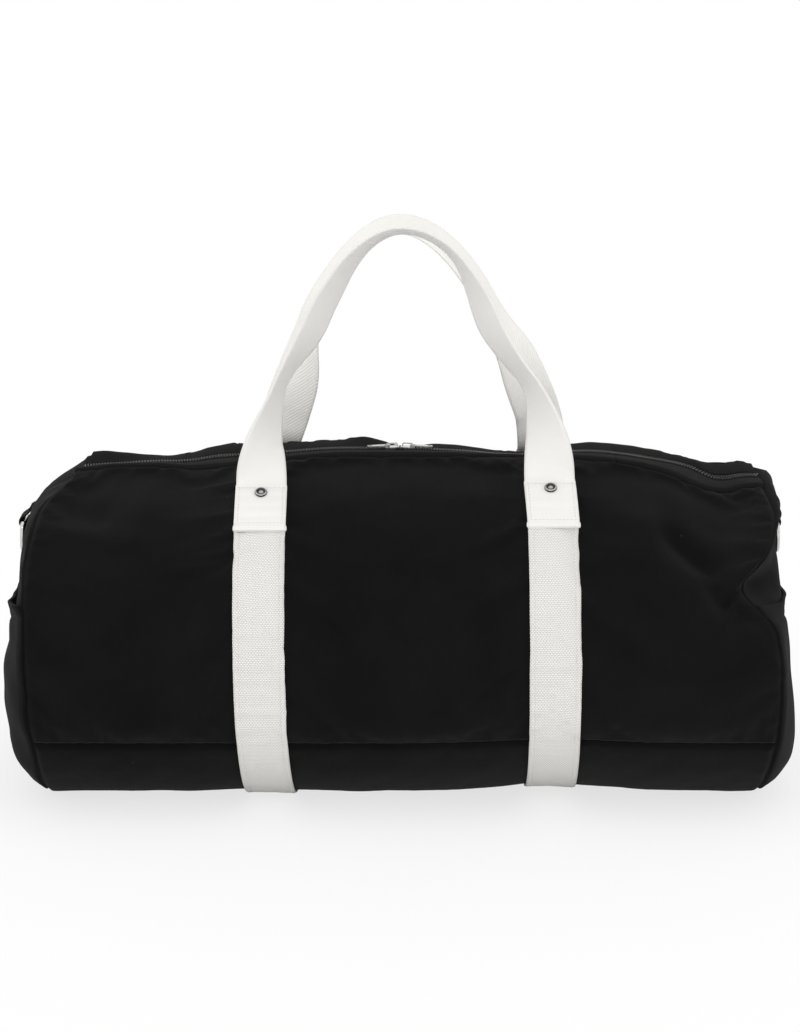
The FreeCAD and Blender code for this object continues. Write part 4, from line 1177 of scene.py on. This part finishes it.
def bend(sewn, leg, leg_next):
    """Frames from a sewn end's stitch line up to where its leg runs free."""
    base, base_over, base_face = sewn[-1][:3]
    base_way = unit(base - sewn[-2][0])
    leg_way = unit(leg_next[0] - leg[0])
    gap = np.linalg.norm(leg[0] - base)
    steps = np.linspace(0, 1, BEND_ROWS)
    line = hermite(base, base_way * gap * 0.8, leg[0], leg_way * gap * 1.2, steps[:, None])
    ways = unit(np.gradient(line, axis=0))
    rows = []
    for place, way, step in list(zip(line, ways, steps))[1:-1]:
        share = step**1.3
        over = unit(base_over * (1 - share) + leg[1] * share)
        over = unit(over - np.dot(over, way) * way)
        guess = base_face * (1 - share) + leg[2] * share
        normal = np.cross(way, over)
        normal = normal * (1 if np.dot(normal, guess) > 0 else -1)
        rows.append((place, over, normal, None))
    return rows


def handle_path(word):
    """All frames of a handle, hem to hem: (centre, across, face, share of the sewn end or None)."""
    centre, across, face, from_foot, outer = handle_frames(word)
    ends = {side: patch_frames(side, word == "back") for side in (-1, 1)}
    for side in (-1, 1):
        foot = np.array([side * HANDLE_LINE[word, side][0][0] / 1000, FOOT[1], FOOT[2]])
        drop = ends[side][-1][0] - foot + np.array([0, 0.0, LEG_LIFT])
        share = (1 - ramp(from_foot, 0.0, DROP_FADE)) * (outer == side)
        centre = centre + share[:, None] * drop
    free = np.flatnonzero(from_foot >= LEG_JOIN)[::2]
    legs = [(centre[n], across[n], face[n], None) for n in free]
    rising = bend(ends[-1], legs[0], legs[1])
    falling = bend(ends[1], legs[-1], legs[-2])
    return ends[-1] + rising + legs + falling[::-1] + ends[1][::-1]


for word, sign in (("front", 1.0), ("back", -1.0)):
    path = handle_path(word)
    loops, uvs = [], []
    for (centre, across, face, share), run in zip(path, travelled([row[0] for row in path])):
        hem, width = 0.0, WEB_WIDTH
        if share is not None:
            hem = float(ramp(share, 0.89, 0.93) * (1 - ramp(share, 0.985, 1.01)))
            width = WEB_WIDTH + PATCH_WIDE + HEM_WIDE * hem
        middle = centre + face * (HEM_LIFT * hem)
        thick = WEB_THICK + HEM_THICK * hem
        points, weave = band_loop(middle, across, face, width, thick, BAND_COLUMNS, run)
        loops.append(points * np.array([1.0, sign, 1.0]))
        uvs.append(weave)
    handle = sweep(word + "_handle_webbing", loops, uvs, flip=sign < 0)
    nodes = [word + "_handle", word + "_handle_ends"]
    fit_out(handle, "webbing", WEB_FINE, WEB_TWILL, nodes=nodes, body=None)
    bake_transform(handle)
    size = len(loops[0])
    underside = np.zeros(len(handle.data.polygons), int)
    for number in range(len(loops) - 1):
        underside[number * size + BAND_COLUMNS + 1 : number * size + size - 1] = 1
    handle.data.polygons.foreach_set("material_index", underside)

# Stitching of the handle ends: a box of dotted lines on each sewn end.
BOX_TOP = HANDLE_ANGLE + math.radians(2.2)
BOX_LOW = HEM_ANGLE - math.radians(2.6)
BOX_HALF = 0.0166
BOX_PITCH = 0.0030
BOX_STITCH = (0.0022, 0.0006, 0.0005)
BOX_LIFT = WEB_THICK / 2 + 0.0001
ACROSS = np.arange(-0.0165, BOX_HALF, BOX_PITCH)
DOWN = np.arange(BOX_TOP, BOX_LOW, BOX_PITCH / HALF_DEPTH)
BOX = [(angle, offset, False) for angle in (BOX_TOP, BOX_LOW) for offset in ACROSS]
BOX += [(angle, edge, True) for edge in (-BOX_HALF, BOX_HALF) for angle in DOWN]

for word, sign in (("front", 1), ("back", -1)):
    centres, ways, ups = [], [], []
    for side in (1, -1):
        for angle, offset, down in BOX:
            out = np.array([0, -sign * math.sin(angle), math.cos(angle)])
            middle = strap_point(side, angle, sign < 0, PATCH_PROUD) + SIDE_WAY * offset
            centres.append(middle + out * BOX_LIFT)
            ups.append(out)
            ways.append(np.array([0.0, sign * math.cos(angle), math.sin(angle)]) if down else SIDE_WAY)
    stitch = scatter(word + "_end_stitches", np.array(centres), ways, ups, BOX_STITCH)
    fit_out(stitch, "webbing", WHITE_THREAD)

# Rivets: plain double-cap heads through each handle end, as (height, radius) from the rim to the tip.
RIVET_ANGLE = math.radians(30.5)
RIVET_PROUD = 0.0046
RIVET_OUTLINE = [
    (-0.0004, 0.00460), (0.0001, 0.00475), (0.0006, 0.00475), (0.0011, 0.00458), (0.0015, 0.00425),
    (0.0017, 0.00385), (0.0016, 0.00345), (0.0012, 0.00310), (0.0008, 0.00285), (0.0007, 0.00240),
    (0.0009, 0.00185), (0.0014, 0.00125), (0.0017, 0.00070), (0.0018, 0.00015),
]
# Rows painted with the lighter metal as a painted highlight: the ring's crest and the centre boss.
HIGHLIGHT_ROWS = (3, 4, 5, 10, 11, 12)
RIVET_SIDES = 48

for word, sign in (("front", 1), ("back", -1)):
    for side, side_word in SIDES:
        axis = np.array([0, -sign * math.sin(RIVET_ANGLE), math.cos(RIVET_ANGLE)])
        over = unit(np.cross(axis, SIDE_WAY))
        points, faces = turned(RIVET_OUTLINE, RIVET_SIDES)
        points = points @ np.stack([axis, over, np.cross(axis, over)])
        points = points + strap_point(side, RIVET_ANGLE, sign < 0, RIVET_PROUD)
        head = add_object("%s_rivet_head_%s" % (word, side_word), points, faces)
        nodes = [word + "_rivets"] if side > 0 else []
        fit_out(head, "gunmetal", GUNMETAL, RIVET_HIGHLIGHT, nodes=nodes)
        # Faces of these rows take the lighter metal, a painted highlight on the ring crest and the centre
        # boss.
        for row in HIGHLIGHT_ROWS:
            for number in range(row * RIVET_SIDES, (row + 1) * RIVET_SIDES):
                head.data.polygons[number].material_index = 1

# D-ring tabs: a short loop of black tape round the straight bar of each ring.
RING_PIVOT = np.array([0.291945, 0.201223])
END_TILT = math.radians(6)
TAB_BEND = 0.0032
TAB_WIDTH = 0.0240
TAB_THICK = 0.0014
TAB_COLUMNS = 10


def tab_loops(side):
    """The tape's path: down the end panel, round the bar, and back up over itself."""
    down = np.array([math.sin(END_TILT), -math.cos(END_TILT)])
    out = np.array([math.cos(END_TILT), math.sin(END_TILT)])
    path = []
    for place in np.linspace(-0.0125, 0.0, 8):
        path.append(down * place - out * (TAB_BEND * (1.65 - 0.65 * ramp(place, -0.010, 0.0))))
    for angle in np.linspace(0, math.pi, 11)[1:-1]:
        path.append(down * TAB_BEND * math.sin(angle) - out * TAB_BEND * math.cos(angle))
    for place in np.linspace(0.0, -0.0115, 8):
        path.append(down * place + out * (TAB_BEND * (1 - 2.25 * ramp(-place, 0.001, 0.010))))
    path = RING_PIVOT + np.array(path)
    way = unit(np.gradient(path, axis=0))
    normal = np.stack([way[:, 1], -way[:, 0]], -1)
    loops, uvs = [], []
    for centre, face, run in zip(path, normal, travelled(path)):
        middle = np.array([side * centre[0], 0, centre[1]])
        outward = np.array([side * face[0], 0, face[1]])
        across = np.array([0.0, 1.0, 0.0])
        points, weave = band_loop(middle, across, outward, TAB_WIDTH, TAB_THICK, TAB_COLUMNS, run)
        loops.append(points)
        uvs.append(weave)
    return loops, uvs


for side, word in SIDES:
    tab = sweep(word + "_tab_tape", *tab_loops(side), flip=side > 0)
    fit_out(tab, "canvas", STRIP_CLOTH, nodes=[word + "_ring_tab"])

# Hard parts keep their CAD shapes and take a plated finish.
FINISH = {word + part: NICKEL for side, word in SIDES for part in ("_d_ring", "_slider", "_pull")}
FINISH["rivet_back_caps"] = GUNMETAL
for name, material in FINISH.items():
    node = frame["nodes"][name]
    node.data.materials.clear()
    node.data.materials.append(material)

# Studio: pale floor, soft light from above, the front and both sides, camera a little above the bag.
WHITE = (1, 1, 1, 1)
FLOOR_HALF = 6
FLOOR_FADE = {"From Min": 0.28, "From Max": 0.75, "To Min": 0.72, "To Max": 1.0}


def white_share(nodes):
    """1 for rays that show the background: straight to the camera, mirrored or through glass."""
    path = nodes.add("ShaderNodeLightPath").outputs
    share = nodes.math("MAXIMUM", path["Is Camera Ray"], path["Is Glossy Ray"])
    return nodes.math("MAXIMUM", share, path["Is Transmission Ray"])


def floor():
    corners = [(x * FLOOR_HALF, y * FLOOR_HALF, 0) for x, y in ((-1, -1), (1, -1), (1, 1), (-1, 1))]
    obj = add_object("studio_floor", corners, [(0, 1, 2, 3)])
    nodes = new_material("pale_floor")
    obj.data.materials.append(nodes.paint(Base_Color=(0.96, 0.96, 0.96, 1), Roughness=0.9))
    length = nodes.add("ShaderNodeVectorMath", operation="LENGTH")
    nodes.feed(length.inputs[0], nodes.add("ShaderNodeTexCoord").outputs["Object"])
    far = nodes.add("ShaderNodeMapRange", interpolation_type="SMOOTHSTEP", **FLOOR_FADE)
    nodes.feed(far.inputs["Value"], length.outputs["Value"])
    share = nodes.math("MULTIPLY", white_share(nodes), far.outputs["Result"])
    glow = nodes.add("ShaderNodeEmission", Color=WHITE, Strength=1.0)
    nodes.whiten(share, nodes.tree.nodes["Principled BSDF"], glow, "Material Output")


def world():
    studio = bpy.data.worlds.new("studio")
    bpy.context.scene.world = studio
    nodes = Nodes(studio)
    back = nodes.tree.nodes["Background"]
    back.inputs["Color"].default_value = (0.80, 0.80, 0.81, 1)
    back.inputs["Strength"].default_value = 1.03
    white = nodes.add("ShaderNodeBackground", Color=WHITE, Strength=1.0)
    nodes.whiten(white_share(nodes), back, white, "World Output")


def softbox(name, place, target, size, power):
    data = bpy.data.lights.new(name, "AREA")
    data.shape = "RECTANGLE"
    data.size, data.size_y = size
    data.energy = power
    obj = bpy.data.objects.new(name, data)
    obj.location = place
    obj.rotation_euler = (Vector(target) - Vector(place)).to_track_quat("-Z", "Y").to_euler()
    bpy.context.scene.collection.objects.link(obj)


floor()
world()
softbox("top_softbox", (0.0, -0.3, 1.9), (0, 0, 0.1), (2.4, 1.8), 5)
softbox("front_softbox", (-0.3, -2.4, 0.30), (0, 0, 0.16), (2.4, 0.5), 11)
softbox("right_softbox", (2.0, -0.9, 1.0), (0, 0, 0.2), (1.2, 1.4), 4)
softbox("left_softbox", (-2.0, -0.6, 1.0), (0, 0, 0.2), (1.2, 1.4), 4)

ELEVATION = math.radians(13)
DISTANCE = 2.4
AIM = np.array([0.0, 0.0, 0.204])
camera_data = bpy.data.cameras.new("photo_camera")
camera_data.lens = 107.5
camera_data.sensor_width = 36
camera_data.clip_end = 50
camera = bpy.data.objects.new("photo_camera", camera_data)
camera.location = AIM + DISTANCE * np.array([0, -math.cos(ELEVATION), math.sin(ELEVATION)])
camera.rotation_euler = (math.pi / 2 - ELEVATION, 0, 0)
bpy.context.scene.collection.objects.link(camera)
bpy.context.scene.camera = camera
bpy.context.scene.view_settings.view_transform = "Standard"

bpy.context.view_layer.update()
